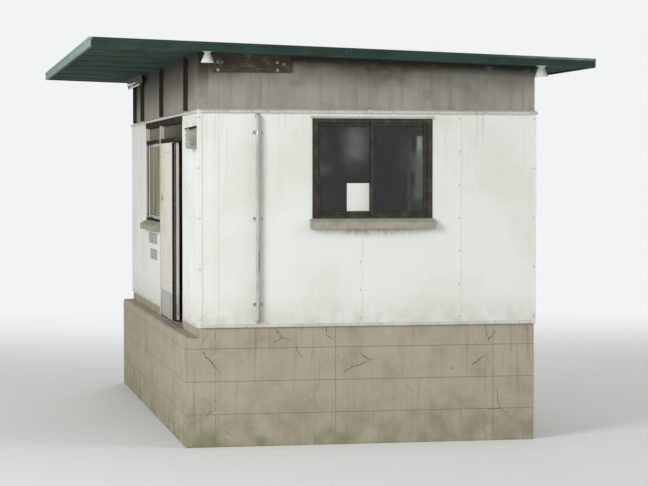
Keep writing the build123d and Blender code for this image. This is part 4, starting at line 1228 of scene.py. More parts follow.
def band_strip(mesh, section, outward, across):
    """A strip up the band, from the trim rail to the fillet or to the board under the eave."""
    foot = on_side(outward, across, trim_high.z, BANDS)
    under_board = outward == NEAR and board_low.x - BOARD_ROOM < across < board_high.x + BOARD_ROOM
    head = board_low.z if under_board else soffit_over(foot.x) - FILLET_ROOM
    stand_strip(mesh, section, foot, head - foot.z, outward)


def under_soffit(place):
    """The point on the soffit's underside over a place."""
    return Vector((place[0], place[1], soffit_over(place[0])))


mesh = bmesh.new()
for outward in (NEAR, FAR):
    for x in x_joints:
        band_strip(mesh, BAND_STRIP, outward, x)
    band_strip(mesh, CORNER_PLATE, outward, CORNER_PLATE_X)
for y in y_joints:
    band_strip(mesh, BAND_STRIP, ROAD, y)
new_piece("band_joint_strips", mesh, "chalked_band_paint")

mesh = bmesh.new()
for low, high in loose_boxes("band_mullions"):
    band_strip(mesh, PACKING, PLATFORM, high.y + PACKING_HALF)
new_piece("mullion_packings", mesh, "grey_trim_enamel")

mesh = bmesh.new()
fillets = [(outward, *line_on(outward, BANDS, 0)) for outward in (FAR, PLATFORM, ROAD)]
start, end = line_on(NEAR, BANDS, 0)
fillets += [(NEAR, start, Vector((board_low.x, start.y, 0))), (NEAR, Vector((board_high.x, end.y, 0)), end)]
for outward, start, end in fillets:
    draw_level(mesh, FILLET, under_soffit(start), under_soffit(end), outward)
new_piece("eave_fillets", mesh, "weathered_rubber")

# %% [markdown]
# The soffit is boards 910 mm wide, and a thin batten covers each joint. On the platform side the battens
# run out from the wall to the fascia, and beyond the end walls they run to the end fascia. They stop
# short of the rainwater pipe.

# %% Soffit battens
SOFFIT_BATTEN = flat_bar(32, 5, 2)
SOFFIT_DOWN = Vector((-SOFFIT_FALL, 0, -1)).normalized()
BOARD_WIDTH = 0.91
BOARDS_ASIDE = 3
END_BOARDS = 5
FIRST_BATTEN_X = BANDS[0].x - 0.045
WALL_GAP = 0.02
TROUGH_GAP = 0.03
PIPE_GAP = 0.10
END_FASCIA = 0.042
END_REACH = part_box("end_fascias")[1].y - END_FASCIA
road_fascia_low, road_fascia_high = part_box("road_fascia")
pipe_low, pipe_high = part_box("downpipe")
shade_boxes = loose_boxes("lamp_shades")
trough_low, trough_high = max(shade_boxes, key=lambda box: box[1].y - box[0].y)

runs = []
for step in range(-BOARDS_ASIDE, BOARDS_ASIDE + 1):
    y = step * BOARD_WIDTH
    at_trough = trough_low.y - TROUGH_GAP * 2 < y < trough_high.y + TROUGH_GAP * 2
    wall_end = trough_low.x - TROUGH_GAP if at_trough else BANDS[0].x - WALL_GAP
    road_end = min(road_fascia_low.x, pipe_high.x - PIPE_GAP)
    runs += [((fascia_high.x, y), (wall_end, y)), ((BANDS[1].x + WALL_GAP, y), (road_end, y))]
for step in range(END_BOARDS):
    x = FIRST_BATTEN_X + step * BOARD_WIDTH
    runs.append(((x, BANDS[1].y + WALL_GAP), (x, END_REACH)))
    if not board_low.x < x < board_high.x:
        runs.append(((x, -END_REACH), (x, BANDS[0].y - WALL_GAP)))

mesh = bmesh.new()
for start, end in runs:
    draw_strip(mesh, SOFFIT_BATTEN, under_soffit(start), under_soffit(end), SOFFIT_DOWN)
new_piece("soffit_battens", mesh, "flat_soffit_paint")

# %% [markdown]
# Along the top of the fascias lies a folded capping, bent over the outer edge. It is one section run
# round the roof with mitred corners, on a frame that slopes with the roof. It takes the painted
# highlight along the platform edge and at the low end. Below it, thin plates cover the joints of the
# fascia, each with four screws.

# %% Roof capping and fascia joint plates
CAPPING = [(-3, -18), (-3, 3), (36, 3), (36, 0.5), (-0.5, 0.5), (-0.5, -18)]
FASCIA_PLATE = flat_bar(48, 1.5, 1)
FASCIA_LENGTH = 1.88
PLATE_FOOT_ROOM = 8 * MM
PLATE_HEAD_ROOM = 20 * MM
SCREW_ASIDE = 16 * MM
SCREW_FROM_END = 15 * MM
ROOF = (fascia_low, road_fascia_high)
ROOF_UP = Vector((SOFFIT_FALL, 0, 1)).normalized()
FASCIA_FALL = (fascia_high.z - ROOF[1].z) / (ROOF[1].x - ROOF[0].x)


def roof_edge(x, y):
    return Vector((x, y, fascia_high.z - FASCIA_FALL * (x - fascia_low.x)))


mesh = bmesh.new()
edge = [roof_edge(x, y) for x, y in corners_of(ROOF[0].x, ROOF[1].x, ROOF[0].y, ROOF[1].y)]
mitre_frame(mesh, CAPPING, edge, ROOF_UP)
new_piece("roof_capping", mesh, "capping_paint_with_painted_highlight")

mesh, heads = bmesh.new(), bmesh.new()
for outward in SIDES:
    for x, y, z in row(*line_on(outward, ROOF, fascia_low.z), FASCIA_LENGTH)[1:-1]:
        foot = Vector((x, y, z - SOFFIT_FALL * (x - fascia_low.x) + PLATE_FOOT_ROOM))
        head = roof_edge(x, y) - UP * PLATE_HEAD_ROOM
        draw_strip(mesh, FASCIA_PLATE, foot, head, outward)
        for aside in (-SCREW_ASIDE, SCREW_ASIDE):
            for seat in (foot + UP * SCREW_FROM_END, head - UP * SCREW_FROM_END):
                turn_piece(heads, HEX_HEAD, seat + outward.cross(UP) * aside, outward, HEX_SIDES)
new_piece("fascia_joint_plates", mesh, "capping_paint_with_painted_highlight")
new_piece("fascia_screws", heads, "capping_paint_with_painted_highlight")

# %% [markdown]
# The roof sheets run down the slope between the battens. Where one length ends another laps over it,
# and the lap shows as a low step. Nails with wide washers hold the battens. The box gutter is stiffened
# by straps across its top.

# %% Laps and nails of the roof, and gutter straps
LAP = [(-22, 0), (22, 0), (20, 1.6), (-22, 0.6)]
LAP_PLACES = (-0.95, 0.95)
LAP_SHIFT = 0.28
NAIL_HEAD = [(0, 0), (9, 0), (8.5, 1.6), (3.5, 2.2), (3, 3.4), (0, 4)]
NAIL_SIDES = 8
NAIL_PITCH = 0.6
NAILS_FROM = 0.2
NAILS_TO = 0.1
BATTEN_PITCH = 0.455
BATTEN_HALF = 0.017
BATTEN_HEIGHT = 0.018
EDGE_BATTEN = 0.030
STRAP = flat_bar(22, 3)
STRAP_PITCH = 0.9
STRAP_INSET = 0.3
deck_low, deck_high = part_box("roof_deck")


def deck_top(x, y):
    """A point on the sheet between the battens."""
    return Vector((x, y, deck_high.z - BATTEN_HEIGHT - SOFFIT_FALL * (x - deck_low.x)))


first_batten = deck_low.y + EDGE_BATTEN + BATTEN_HALF
battens = evenly(first_batten, -first_batten, BATTEN_PITCH)
mesh = bmesh.new()
for number, (start, end) in enumerate(zip(battens, battens[1:])):
    for place in LAP_PLACES:
        x = place + LAP_SHIFT * (number % 2)
        draw_strip(mesh, LAP, deck_top(x, start + BATTEN_HALF), deck_top(x, end - BATTEN_HALF), ROOF_UP)
new_piece("roof_laps", mesh, "chalked_roof_paint")

mesh = bmesh.new()
for y in battens:
    ends = (deck_low.x + NAILS_FROM, deck_high.x - NAILS_TO)
    start, end = [deck_top(x, y) + UP * BATTEN_HEIGHT for x in ends]
    for seat in row(start, end, NAIL_PITCH):
        turn_piece(mesh, NAIL_HEAD, seat, ROOF_UP, NAIL_SIDES)
new_piece("roof_nails", mesh, "galvanised_strip")

mesh = bmesh.new()
inner_side, outer_side = loose_boxes("gutter_sides")
for y in evenly(deck_low.y + STRAP_INSET, deck_high.y - STRAP_INSET, STRAP_PITCH):
    start = Vector((inner_side[0].x, y, inner_side[1].z))
    end = Vector((outer_side[1].x, y, outer_side[1].z))
    draw_strip(mesh, STRAP, start, end, ROOF_UP)
new_piece("gutter_straps", mesh, "galvanised_strip")

# %% [markdown]
# Pipes come in lengths that push into sockets, and where the conduit turns into the wall a rose hides
# the hole. Each lamp has a rose under the soffit too. All of them are turned about an axis. A socket
# has a rolled rim at its mouth, and its outline comes back to its start, so the ring is closed.

# %% Sockets and roses
PIPE_MOUTH = (30.4, -24)
PIPE_SOCKET = [PIPE_MOUTH, (34, -24), (34.6, -20), (33.2, -16), (33.2, 20), (31, 24), (30.4, 24), PIPE_MOUTH]
PIPE_SOCKETS_AT = (1.58, 2.58)
CONDUIT_SOCKET = [(20.3, -18), (23, -18), (23.4, -15), (22.6, -12), (22.6, 15), (20.3, 18), (20.3, -18)]
CONDUIT_SOCKETS_AT = (1.72, 2.50)
WALL_ROSE = [(0, 0), (28, 0), (28, 2), (25, 4), (21, 5), (0, 5)]
LAMP_ROSE = [(0, 0), (44, 0), (44, 4), (38, 8), (24, 11), (0, 11)]
ROUND_STEPS = 28
pipe_radius = (pipe_high.y - pipe_low.y) / 2
conduit_radius = (conduit_high.x - conduit_low.x) / 2
conduit_x = conduit_low.x + conduit_radius

mesh = bmesh.new()
for height in PIPE_SOCKETS_AT:
    seat = Vector((pipe_low.x + pipe_radius, pipe_low.y + pipe_radius, height))
    turn_piece(mesh, PIPE_SOCKET, seat, UP, ROUND_STEPS)
for height in CONDUIT_SOCKETS_AT:
    seat = Vector((conduit_x, conduit_low.y + conduit_radius, height))
    turn_piece(mesh, CONDUIT_SOCKET, seat, UP, ROUND_STEPS)
for height in (conduit_low.z + conduit_radius, conduit_high.z - conduit_radius):
    turn_piece(mesh, WALL_ROSE, on_side(NEAR, conduit_x, height), NEAR, ROUND_STEPS)
new_piece("pipe_sockets", mesh, "weathered_pvc")

mesh = bmesh.new()
for low, high in shade_boxes:
    if low != trough_low:
        turn_piece(mesh, LAMP_ROSE, under_soffit((low + high) / 2), SOFFIT_DOWN, ROUND_STEPS)
new_piece("lamp_roses", mesh, "fired_enamel")

# %% [markdown]
# A pane is held in its sash by a black rubber gasket, which shows as a thin dark line between metal and
# glass. The panes' boxes give their corners, and one mitred ring goes round each face of each pane.

# %% Glazing gaskets
GASKET = [(0, 0), (6, 0), (5.5, 2), (3.5, 3.5), (0, 4)]

mesh = bmesh.new()
for box in panes + loose_boxes("transom_glass"):
    for side in (outward_of(*box), -outward_of(*box)):
        mitre_frame(mesh, GASKET, ring_on(side, box), side)
new_piece("glazing_gaskets", mesh, "weathered_rubber")

# %% [markdown]
# The windows get their small parts: a drip hood over each head, a cam lock on the meeting stile inside,
# and finger pulls. The drip hood is a folded strip that stands on the wall over the frame. The lock is
# a cam on a plate, with a lever that points up when it is open.

# %% Drip hoods, locks and pulls of the windows
HOOD = [(15, 0), (15, 1.5), (3, 2.5), (-1, 20), (-7, 21), (-7, 19.5), (-2.5, 18), (1, 1), (1, 0)]
HOOD_OVERHANG = 0.02
LOCK_PLATE = flat_bar(18, 4, 2, 3)
LOCK_CAM = [(0, 4), (16, 4), (16, 8), (14, 10), (0, 10)]
LOCK_LEVER = [(-4, 10), (4, 10), (3, 14), (-3, 14)]
LOCK_HALF = 0.03
LEVER_LENGTH = 0.042
SASH_SET_BACK = 0.010
PULL_PLATE = flat_bar(14, 2.5, 3, 1.5)
PULL_LENGTH = 0.11
HALF_STILE = 0.016
head_rails = [box for box in loose_boxes("window_rails") if box[1].z == WINDOW_HEAD]
lock_height = sum(corner.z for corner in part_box("window_sashes")) / 2

hoods, locks, pulls = bmesh.new(), bmesh.new(), bmesh.new()
for low, high in head_rails:
    outward = outward_of(low, high)
    level = level_axis(outward)
    ends = (low[level] - HOOD_OVERHANG, high[level] + HOOD_OVERHANG)
    draw_level(hoods, HOOD, *[on_side(outward, across, WINDOW_HEAD) for across in ends], outward)
    seat = on_side(-outward, (low + high)[level] / 2, lock_height, (low, high)) + outward * SASH_SET_BACK
    stand_strip(locks, LOCK_PLATE, seat - UP * LOCK_HALF, LOCK_HALF * 2, -outward)
    turn_piece(locks, LOCK_CAM, seat, -outward, ROUND_STEPS)
    stand_strip(locks, LOCK_LEVER, seat, LEVER_LENGTH, -outward)
for low, high in loose_boxes("window_sashes"):
    inward = -outward_of(low, high)
    level = level_axis(inward)
    foot = (low.z + high.z - PULL_LENGTH) / 2
    for across in (low[level] + HALF_STILE, high[level] - HALF_STILE):
        stand_strip(pulls, PULL_PLATE, on_side(inward, across, foot, (low, high)), PULL_LENGTH, inward)
new_piece("window_drip_hoods", hoods, "grey_trim_enamel")
new_piece("window_locks", locks, "bronze_anodised_aluminium")
new_piece("sash_pulls", pulls, "bronze_anodised_aluminium")

# %% [markdown]
# The door leaves are steel with a shallow pressing, a bead in the pressing that stiffens the sheet, and
# a kick plate of stainless steel at the foot. All of it rides on the leaf. A leaf passes close to the
# frame and to the other leaf, so nothing on it stands out more than 2 mm.

# %% Beads and kick plates of the door leaves
BEAD = [(0, 0), (2, 1.6), (7, 1.6), (9, 0)]
PRESSING = 0.002
LEAF_MARGIN = 0.165
HEAD_MARGIN = 0.095
BEAD_FOOT = 0.36
KICK_MARGIN = 12
KICK_LOW = 0.02
KICK_HIGH = 0.27
SMALL_HEAD = [(0, 0), (4.5, 0), (4, 1), (2, 1.7), (0, 1.9)]
SMALL_SIDES = 10
HEAD_INSET = 0.015
HEAD_ASIDE = 0.04
HEAD_PITCH = 0.17
HEAD_PROUD = 0.6

for name, body in (("outer_door_", "outer_door"), ("inner_door_", "inner_door")):
    low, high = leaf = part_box(name + "leaf")
    pressed = (low + Vector((0, LEAF_MARGIN, BEAD_FOOT)), high - Vector((0, LEAF_MARGIN, HEAD_MARGIN)))
    kick_plate = flat_bar((high.y - low.y) / MM - 2 * KICK_MARGIN, 1, 1)
    beads, plates, heads = bmesh.new(), bmesh.new(), bmesh.new()
    for outward in (PLATFORM, ROAD):
        ring = [corner - outward * PRESSING for corner in ring_on(outward, pressed)]
        mitre_frame(beads, BEAD, ring, outward)
        foot = on_side(outward, (low.y + high.y) / 2, low.z + KICK_LOW, leaf)
        stand_strip(plates, kick_plate, foot, KICK_HIGH - KICK_LOW, outward)
        for height in (KICK_LOW + HEAD_INSET, KICK_HIGH - HEAD_INSET):
            for seat in row(*line_on(outward, leaf, low.z + height, HEAD_ASIDE), HEAD_PITCH):
                turn_piece(heads, SMALL_HEAD, seat + outward * HEAD_PROUD * MM, outward, SMALL_SIDES)
    new_piece(name + "beads", beads, "cream_door_enamel", body)
    new_piece(name + "kick_plates", plates, "brushed_stainless", body)
    new_piece(name + "plate_screws", heads, "brushed_stainless", body)

# %% [markdown]
# A dark rubber strip runs up the near edge of the outer leaf and rides with it. A dark steel strip
# over the door's head, from the near post to the far one, is painted shade in place of the shade under
# the trim rail. The post at the far side of the side window has a dark rubber strip too, in the groove
# of the outer sash.

# %% Dark edge strips and the painted shade over the door's head
HEAD_COVER_GAP = 2 * MM
HEAD_COVER_THICKNESS = 2
EDGE_STRIP_END = 4 * MM
LEAF_EDGE_WIDTH = 26
JAMB_EDGE_WIDTH = 12

mesh = bmesh.new()
# Painted shade: a dark strip over the door's head, in place of the shade under the trim rail.
cover_low = near_post[1].z + HEAD_COVER_GAP
head_shade_strip = flat_bar((trim_low.z - cover_low) / MM, HEAD_COVER_THICKNESS)
cover_height = (cover_low + trim_low.z) / 2
start, end = [on_side(PLATFORM, y, cover_height) for y in (near_post[0].y, far_jamb[1].y)]
draw_strip(mesh, head_shade_strip, start, end, PLATFORM)
new_piece("painted_shade_over_door", mesh, "dark_steel_and_painted_shade")


def dark_edge_strip(name, box, y, width, body):
    """A dark rubber strip up a box at its platform side, on the face at this y that looks to the near end."""
    mesh = bmesh.new()
    foot = Vector((box[0].x + (width / 2 + 1) * MM, y, box[0].z + EDGE_STRIP_END))
    stand_strip(mesh, flat_bar(width, 1, 1), foot, box[1].z - box[0].z - 2 * EDGE_STRIP_END, NEAR)
    new_piece(name, mesh, "weathered_rubber", body)


outer_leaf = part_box("outer_door_leaf")
dark_edge_strip("outer_door_dark_edge", outer_leaf, outer_leaf[0].y, LEAF_EDGE_WIDTH, "outer_door")
dark_edge_strip("far_jamb_dark_edge", loose_boxes("window_sashes")[0], far_jamb[0].y, JAMB_EDGE_WIDTH, "building")

# %% [markdown]
# An opaque olive film lies on the outside of the side window's panes. It is painted reflection: it
# stands in for the look of the glass at this grazing angle, and lets nothing through. It is polyester
# a tenth of a millimetre thick, drawn as thick as an export can keep, and cut a finger short of the
# gasket.

# %% Painted reflection on the side window
FILM_MARGIN = 9 * MM
FILM_THICKNESS = 0.4


def olive_painted_reflection():
    settings = {"Roughness": 0.8, "IOR": 1.6, "Specular IOR Level": DEAD}
    tree, shader, place = new_finish("olive_painted_reflection", settings)
    streaked = patches(tree, place, 60, 0.30, 0.80, stretch=(1, 1, 8))
    bubbles = patches(tree, place, 9, 0.66, 0.74)
    bleach_and_highlight = patches(tree, place, 260, 0.35, 0.75, stretch=(1, 1, 2))
    colour = coats(
        tree,
        "#8F8B70",
        ("#A5A189", bleach_and_highlight),
        ("#7B765C", streaked),
        ("#B2AF9B", bubbles),
    )
    lay_on(tree, shader, colour, bubbles, 0.2)


olive_painted_reflection()
# Painted reflection: an opaque olive film in place of the glass seen at a grazing angle.
mesh = bmesh.new()
for low, high in boxes_on(PLATFORM, panes):
    film = flat_bar((high.y - low.y - 2 * FILM_MARGIN) / MM, FILM_THICKNESS)
    foot = Vector((low.x, (low.y + high.y) / 2, low.z + FILM_MARGIN))
    stand_strip(mesh, film, foot, high.z - low.z - 2 * FILM_MARGIN, PLATFORM)
new_piece("side_window_painted_reflection", mesh, "olive_painted_reflection")

# %% [markdown]
# Under the side window two long plates are fixed to the wall. They are kept bare, grey enamel on
# steel, with a rolled edge and a screw in each corner. A mitred ring makes the rolled edge and a strip
# makes the field inside it.

# %% Bare plates under the side window
PLATE_EDGE = [(0, 0), (0, 3), (2, 5), (6, 5), (8, 3), (8, 0)]
PLATE_FIELD = 3.4
PLATE_MARGIN = 4
PLATE_HEIGHT = 0.11
PLATE_CORNER = 0.022
side_sill = boxes_on(PLATFORM, sill_boxes)[0]
side_middle = (side_sill[0].y + side_sill[1].y) / 2
BARE_PLATES = [(side_middle - 0.03, 1.79, 0.75), (side_middle - 0.10, 1.62, 0.60)]

mesh, heads = bmesh.new(), bmesh.new()
for middle, height, width in BARE_PLATES:
    low = Vector((PLATFORM_FACE, middle - width / 2, height - PLATE_HEIGHT / 2))
    high = Vector((PLATFORM_FACE, middle + width / 2, height + PLATE_HEIGHT / 2))
    mitre_frame(mesh, PLATE_EDGE, ring_on(PLATFORM, (low, high)), PLATFORM)
    field = flat_bar(width / MM - 2 * PLATE_MARGIN, PLATE_FIELD)
    foot = Vector((PLATFORM_FACE, middle, low.z + PLATE_MARGIN * MM))
    stand_strip(mesh, field, foot, PLATE_HEIGHT - 2 * PLATE_MARGIN * MM, PLATFORM)
    sides = (low.y + PLATE_CORNER, high.y - PLATE_CORNER, low.z + PLATE_CORNER, high.z - PLATE_CORNER)
    for y, z in corners_of(*sides):
        seat = Vector((PLATFORM_FACE - PLATE_FIELD * MM, y, z))
        turn_piece(heads, SMALL_HEAD, seat, PLATFORM, SMALL_SIDES)
new_piece("bare_plates", mesh, "grey_box_enamel")
new_piece("plate_screws", heads, "galvanised_strip")

# %% [markdown]
# Inside, the walls are lined with varnished plywood, which is what makes the room dark behind the
# glass. The lining is laid in sheets that leave the windows and the doorway open. A boolean could cut
# the openings. Here the wall is divided at the sides of each opening instead, which keeps every sheet a
# plain board with real edges and a gap to the next.

# %% Plywood lining
LINING = 4
SHEET_GAP = 0.003
LINING_TOP = band_low.z
SCUFFED_TO = FLOOR_TOP + 1.0


def varnished_plywood():
    settings = {"Roughness": 0.42, "IOR": 1.5, "Coat Weight": 0.2, "Coat Roughness": 0.25}
    tree, shader, place = new_finish("varnished_plywood", settings)
    figure = patches(tree, place, 26, 0.30, 0.75, stretch=(1, 1, 12), depth=5.0)
    grain = patches(tree, place, 3, 0.40, 0.70, stretch=(1, 1, 40), depth=3.0)
    tanned = patches(tree, place, 500, 0.30, 0.80, depth=6.0)
    scuffs = patches(tree, place, 40, 0.62, 0.85, within=rise(tree, place, SCUFFED_TO, FLOOR_TOP))
    colour = coats(
        tree,
        "#4D3825",
        ("#40301F", figure),
        ("#352618", grain),
        ("#56422D", tanned),
        ("#34291F", scuffs),
    )
    lay_on(tree, shader, colour, grain, 0.12)


def openings_in(outward):
    """The openings of a wall as rectangles, from one end of it to the other."""
    if outward == PLATFORM:
        side_window = (far_post[1].y, far_jamb[1].y, side_sill[1].z, LINING_TOP)
        return [(*DOORWAY, FLOOR_TOP, LINING_TOP), side_window]
    level = level_axis(outward)
    windows = boxes_on(outward, head_rails)
    return sorted((low[level], high[level], WINDOW_FOOT, WINDOW_HEAD) for low, high in windows)


def lining_sheets(start, end, openings):
    """Rectangles (left, right, low, high) that cover a wall but for its openings."""
    cuts = [start] + [side for opening in openings for side in opening[:2]] + [end]
    sheets = []
    for number, (left, right) in enumerate(zip(cuts, cuts[1:])):
        spans = [(FLOOR_TOP, LINING_TOP)]
        if number % 2:
            foot, head = openings[number // 2][2:]
            spans = [(FLOOR_TOP, foot), (head, LINING_TOP)]
        edges = evenly(left, right, SHEET_WIDTH)
        for low, high in spans:
            if high - low > LEAST_LENGTH and right - left > LEAST_LENGTH:
                sheets += [(a, b, low, high) for a, b in zip(edges, edges[1:])]
    return sheets


varnished_plywood()
mesh = bmesh.new()
for outward in SIDES:
    level = level_axis(outward)
    for left, right, low, high in lining_sheets(ROOM[0][level], ROOM[1][level], openings_in(outward)):
        board = flat_bar((right - left - SHEET_GAP) / MM, LINING, 1, LINING - 1)
        foot = on_side(outward, (left + right) / 2, low + SHEET_GAP, ROOM)
        stand_strip(mesh, board, foot, high - low - 2 * SHEET_GAP, -outward)
new_piece("plywood_lining", mesh, "varnished_plywood")

# %% [markdown]
# A casing covers the raw edge of the lining round each window, and a skirting stands along the foot of
# the walls. Both are planed timber under the same varnish. In the window that the camera sees, a white
# card is stuck to the outside of the left pane, on the sash rail.

# %% Casings, skirting and the card in the window
CASING = [(-46, 4), (-46, 14), (-42, 17), (-6, 17), (-2, 14), (-2, 4)]
SKIRTING = [(0, 4), (0, 16), (74, 16), (80, 12), (80, 4)]
CARD = flat_bar(210, 0.8)
CARD_X = 0.172
CARD_HEIGHT = 0.26
CARD_OVER_RAIL = 0.002


def bleached_card():
    settings = {"Roughness": 0.8, "IOR": 1.5, "Specular IOR Level": 0.2}
    tree, shader, place = new_finish("bleached_card", settings)
    foxing = patches(tree, place, 26, 0.52, 0.90, depth=6.0)
    colour = coats(tree, "#E4E4DD", ("#D6D4C9", foxing))
    lay_on(tree, shader, colour, foxing, 0.1)


bleached_card()
mesh = bmesh.new()
for outward in (NEAR, FAR, ROAD):
    for opening in openings_in(outward):
        corners = [on_side(outward, across, height, ROOM) for across, height in corners_of(*opening)]
        mitre_frame(mesh, CASING, corners, -outward)
new_piece("window_casings", mesh, "varnished_plywood")

mesh = bmesh.new()
for outward, start, end in wall_runs(ROOM, FLOOR_TOP):
    draw_level(mesh, SKIRTING, start, end, -outward)
new_piece("skirting", mesh, "varnished_plywood")

mesh = bmesh.new()
card_pane = next(low for low, high in boxes_on(NEAR, panes) if low.x < CARD_X < high.x)
card_foot = Vector((CARD_X, card_pane.y - MM, card_pane.z + CARD_OVER_RAIL))
stand_strip(mesh, CARD, card_foot, CARD_HEIGHT, NEAR)
new_piece("window_card", mesh, "bleached_card")

# %% [markdown]
# The box by the door gets what a sheet steel box has: a dark sheet folded over its sloping lid, a door
# plate on the platform side with hinges and a latch, and a row of pressed louvres. The lid laps past
# the body, so the body's faces are a lap's width inside the box of the solid. The board under the eave
# is held by four coach bolts.

# %% Lid, door and louvres of the wall box, and board bolts
LID_FOLD = [(-2, -20), (-2, 2), (3, 2), (3, 0), (0, 0), (0, -20)]
LID_THICKNESS = 2
LID_LAP = 0.010
LID_FRONT = 0.018
DOOR_INSET = 0.012
DOOR_HEAD_ROOM = 0.052
DOOR_THICKNESS = 3
HINGE = [(0, -14), (5, -14), (5, 14), (0, 14)]
HINGE_INSET = 0.03
HINGE_ASIDE = 4 * MM
LATCH = [(0, 0), (11, 0), (11, 3), (8, 6), (0, 7)]
LATCH_ASIDE = 0.026
LATCH_SIDES = 16
LOUVRE = [(-6, 0), (-3, 5), (1, 6), (6, 0)]
LOUVRES = 4
LOUVRE_LENGTH = 0.036
LOUVRE_FOOT = 0.035
LOUVRE_PITCH = 0.018
COACH_BOLT = [(0, 0), (14, 0), (14, 2), (9, 2.2), (8.5, 5), (5, 8), (0, 9)]
BOLTS_X = (board_low.x + 0.045, board_high.x - 0.13)
BOLTS_Z = (board_low.z + 0.022, board_low.z + 0.092)
box_low, box_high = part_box("wall_box")
BOX_FACE = box_low.x + LID_LAP

mesh = bmesh.new()
lid_heights = {box_low.x: box_high.z - LID_FRONT, box_high.x: box_high.z}
lid_corners = corners_of(box_low.x, box_high.x, box_low.y, box_high.y)
lid_edge = [Vector((x, y, lid_heights[x])) for x, y in lid_corners]
lid_up = (lid_edge[1] - lid_edge[0]).cross(lid_edge[3] - lid_edge[0]).normalized()
mitre_frame(mesh, LID_FOLD, lid_edge, lid_up)
lid_sheet = flat_bar((lid_edge[1] - lid_edge[0]).length / MM, LID_THICKNESS)
draw_strip(mesh, lid_sheet, (lid_edge[0] + lid_edge[1]) / 2, (lid_edge[2] + lid_edge[3]) / 2, lid_up)
new_piece("wall_box_lid", mesh, "dark_steel_and_painted_shade")

mesh = bmesh.new()
door_low = Vector((BOX_FACE, box_low.y + LID_LAP + DOOR_INSET, box_low.z + DOOR_INSET))
door_high = Vector((BOX_FACE, box_high.y - LID_LAP - DOOR_INSET, box_high.z - DOOR_HEAD_ROOM))
door_plate = flat_bar((door_high.y - door_low.y) / MM, DOOR_THICKNESS, 1, DOOR_THICKNESS - 1)
foot = Vector((BOX_FACE, (door_low.y + door_high.y) / 2, door_low.z))
stand_strip(mesh, door_plate, foot, door_high.z - door_low.z, PLATFORM)
door_front = BOX_FACE - DOOR_THICKNESS * MM
for height in (door_low.z + HINGE_INSET, door_high.z - HINGE_INSET):
    turn_piece(mesh, HINGE, Vector((door_front, door_high.y + HINGE_ASIDE, height)), UP, SMALL_SIDES)
latch_seat = Vector((door_front, door_low.y + LATCH_ASIDE, (door_low.z + door_high.z) / 2))
turn_piece(mesh, LATCH, latch_seat, PLATFORM, LATCH_SIDES)
for step in range(LOUVRES):
    x = (BOX_FACE + box_high.x - LOUVRE_LENGTH) / 2
    start = Vector((x, box_low.y + LID_LAP, box_low.z + LOUVRE_FOOT + LOUVRE_PITCH * step))
    draw_strip(mesh, LOUVRE, start, start + ROAD * LOUVRE_LENGTH, NEAR)
new_piece("wall_box_fittings", mesh, "grey_box_enamel")

mesh = bmesh.new()
for x in BOLTS_X:
    for z in BOLTS_Z:
        turn_piece(mesh, COACH_BOLT, Vector((x, board_low.y, z)), NEAR, LATCH_SIDES)
new_piece("board_bolts", mesh, "galvanised_strip")

# %% [markdown]
# The forms of the foundation were held apart by ties, and the cone holes that these left are stopped
# with mortar. The plugs stand in level rows about 600 mm apart, a shade darker than the concrete and a
# millimetre proud of it.

# %% Mortar plugs in the foundation
PLUG = [(0, 0), (14, 0), (13, 1.0), (8, 1.6), (0, 1.4)]
PLUG_SIDES = 14
PLUG_LEVELS = (0.24, 0.68)
PLUG_PITCH = 0.60
CORNER_TO_PLUG = 0.22
FOOTING = (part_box("platform_footing")[0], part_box("end_footings")[1])

mesh = bmesh.new()
for level in PLUG_LEVELS:
    for outward in SIDES:
        for seat in row(*line_on(outward, FOOTING, level, CORNER_TO_PLUG), PLUG_PITCH):
            turn_piece(mesh, PLUG, seat, outward, PLUG_SIDES)
new_piece("form_tie_plugs", mesh, "floated_mortar")

# %% [markdown]
# The camera stands at eye height well in front of the near end wall and looks along the platform side.
# From there a wide lens takes in much more than the building, so this camera keeps the place and turns
# to the building with a longer lens. That gives the same drawing, enlarged, because perspective depends
# on the place alone. The aim comes from the point of the wide picture that should be in the middle.

# %% The camera
EYE = Vector((-3.7325, -21.225, 2.50))
WIDE_LENS = 36.4
WIDE_YAW = math.radians(7.28)
WIDE_PITCH = math.radians(-2.16)
SENSOR = 36.0
PICTURE_WIDTH = 648
PICTURE_HEIGHT = 486
AIM_ACROSS = 367.5
AIM_DOWN = 241.0
ENLARGEMENT = 3.1
SIGHT = 200


def aim_direction():
    """The direction of the chosen point of the wide picture."""
    pixel = SENSOR / PICTURE_WIDTH / WIDE_LENS
    across = (AIM_ACROSS - PICTURE_WIDTH / 2) * pixel
    up = (PICTURE_HEIGHT / 2 - AIM_DOWN) * pixel
    ahead = Vector((0, math.cos(WIDE_PITCH), math.sin(WIDE_PITCH)))
    above = Vector((0, -math.sin(WIDE_PITCH), math.cos(WIDE_PITCH)))
    level = ahead + above * up + Vector((across, 0, 0))
    turned_x = level.x * math.cos(WIDE_YAW) + level.y * math.sin(WIDE_YAW)
    turned_y = level.y * math.cos(WIDE_YAW) - level.x * math.sin(WIDE_YAW)
    return Vector((turned_x, turned_y, level.z))


def stand_looking(thing, place, direction):
    """Stands a camera or a lamp at a place, looking this way."""
    thing.location = place
    thing.rotation_mode = "QUATERNION"
    thing.rotation_quaternion = direction.to_track_quat("-Z", "Y")


camera_data = bpy.data.cameras.new("camera")
camera_data.sensor_width = SENSOR
camera_data.lens = WIDE_LENS * ENLARGEMENT
camera_data.clip_end = SIGHT
camera = put_in_scene("camera", camera_data)
stand_looking(camera, EYE, aim_direction())
bpy.context.scene.camera = camera
print("camera looks along", rounded(aim_direction().normalized()))

# %% [markdown]
# The light is a studio's: one large soft lamp from the front left, low enough to come in under the
# roof, a weaker one from the right, another from behind, and an even white world. A uniform world gives
# a plain surface about its own colour, so the lamps only add a direction. The background seen by the
# camera is pale, and it comes from Light Path, so it adds no light to the building. Metal and glass
# mirror it.

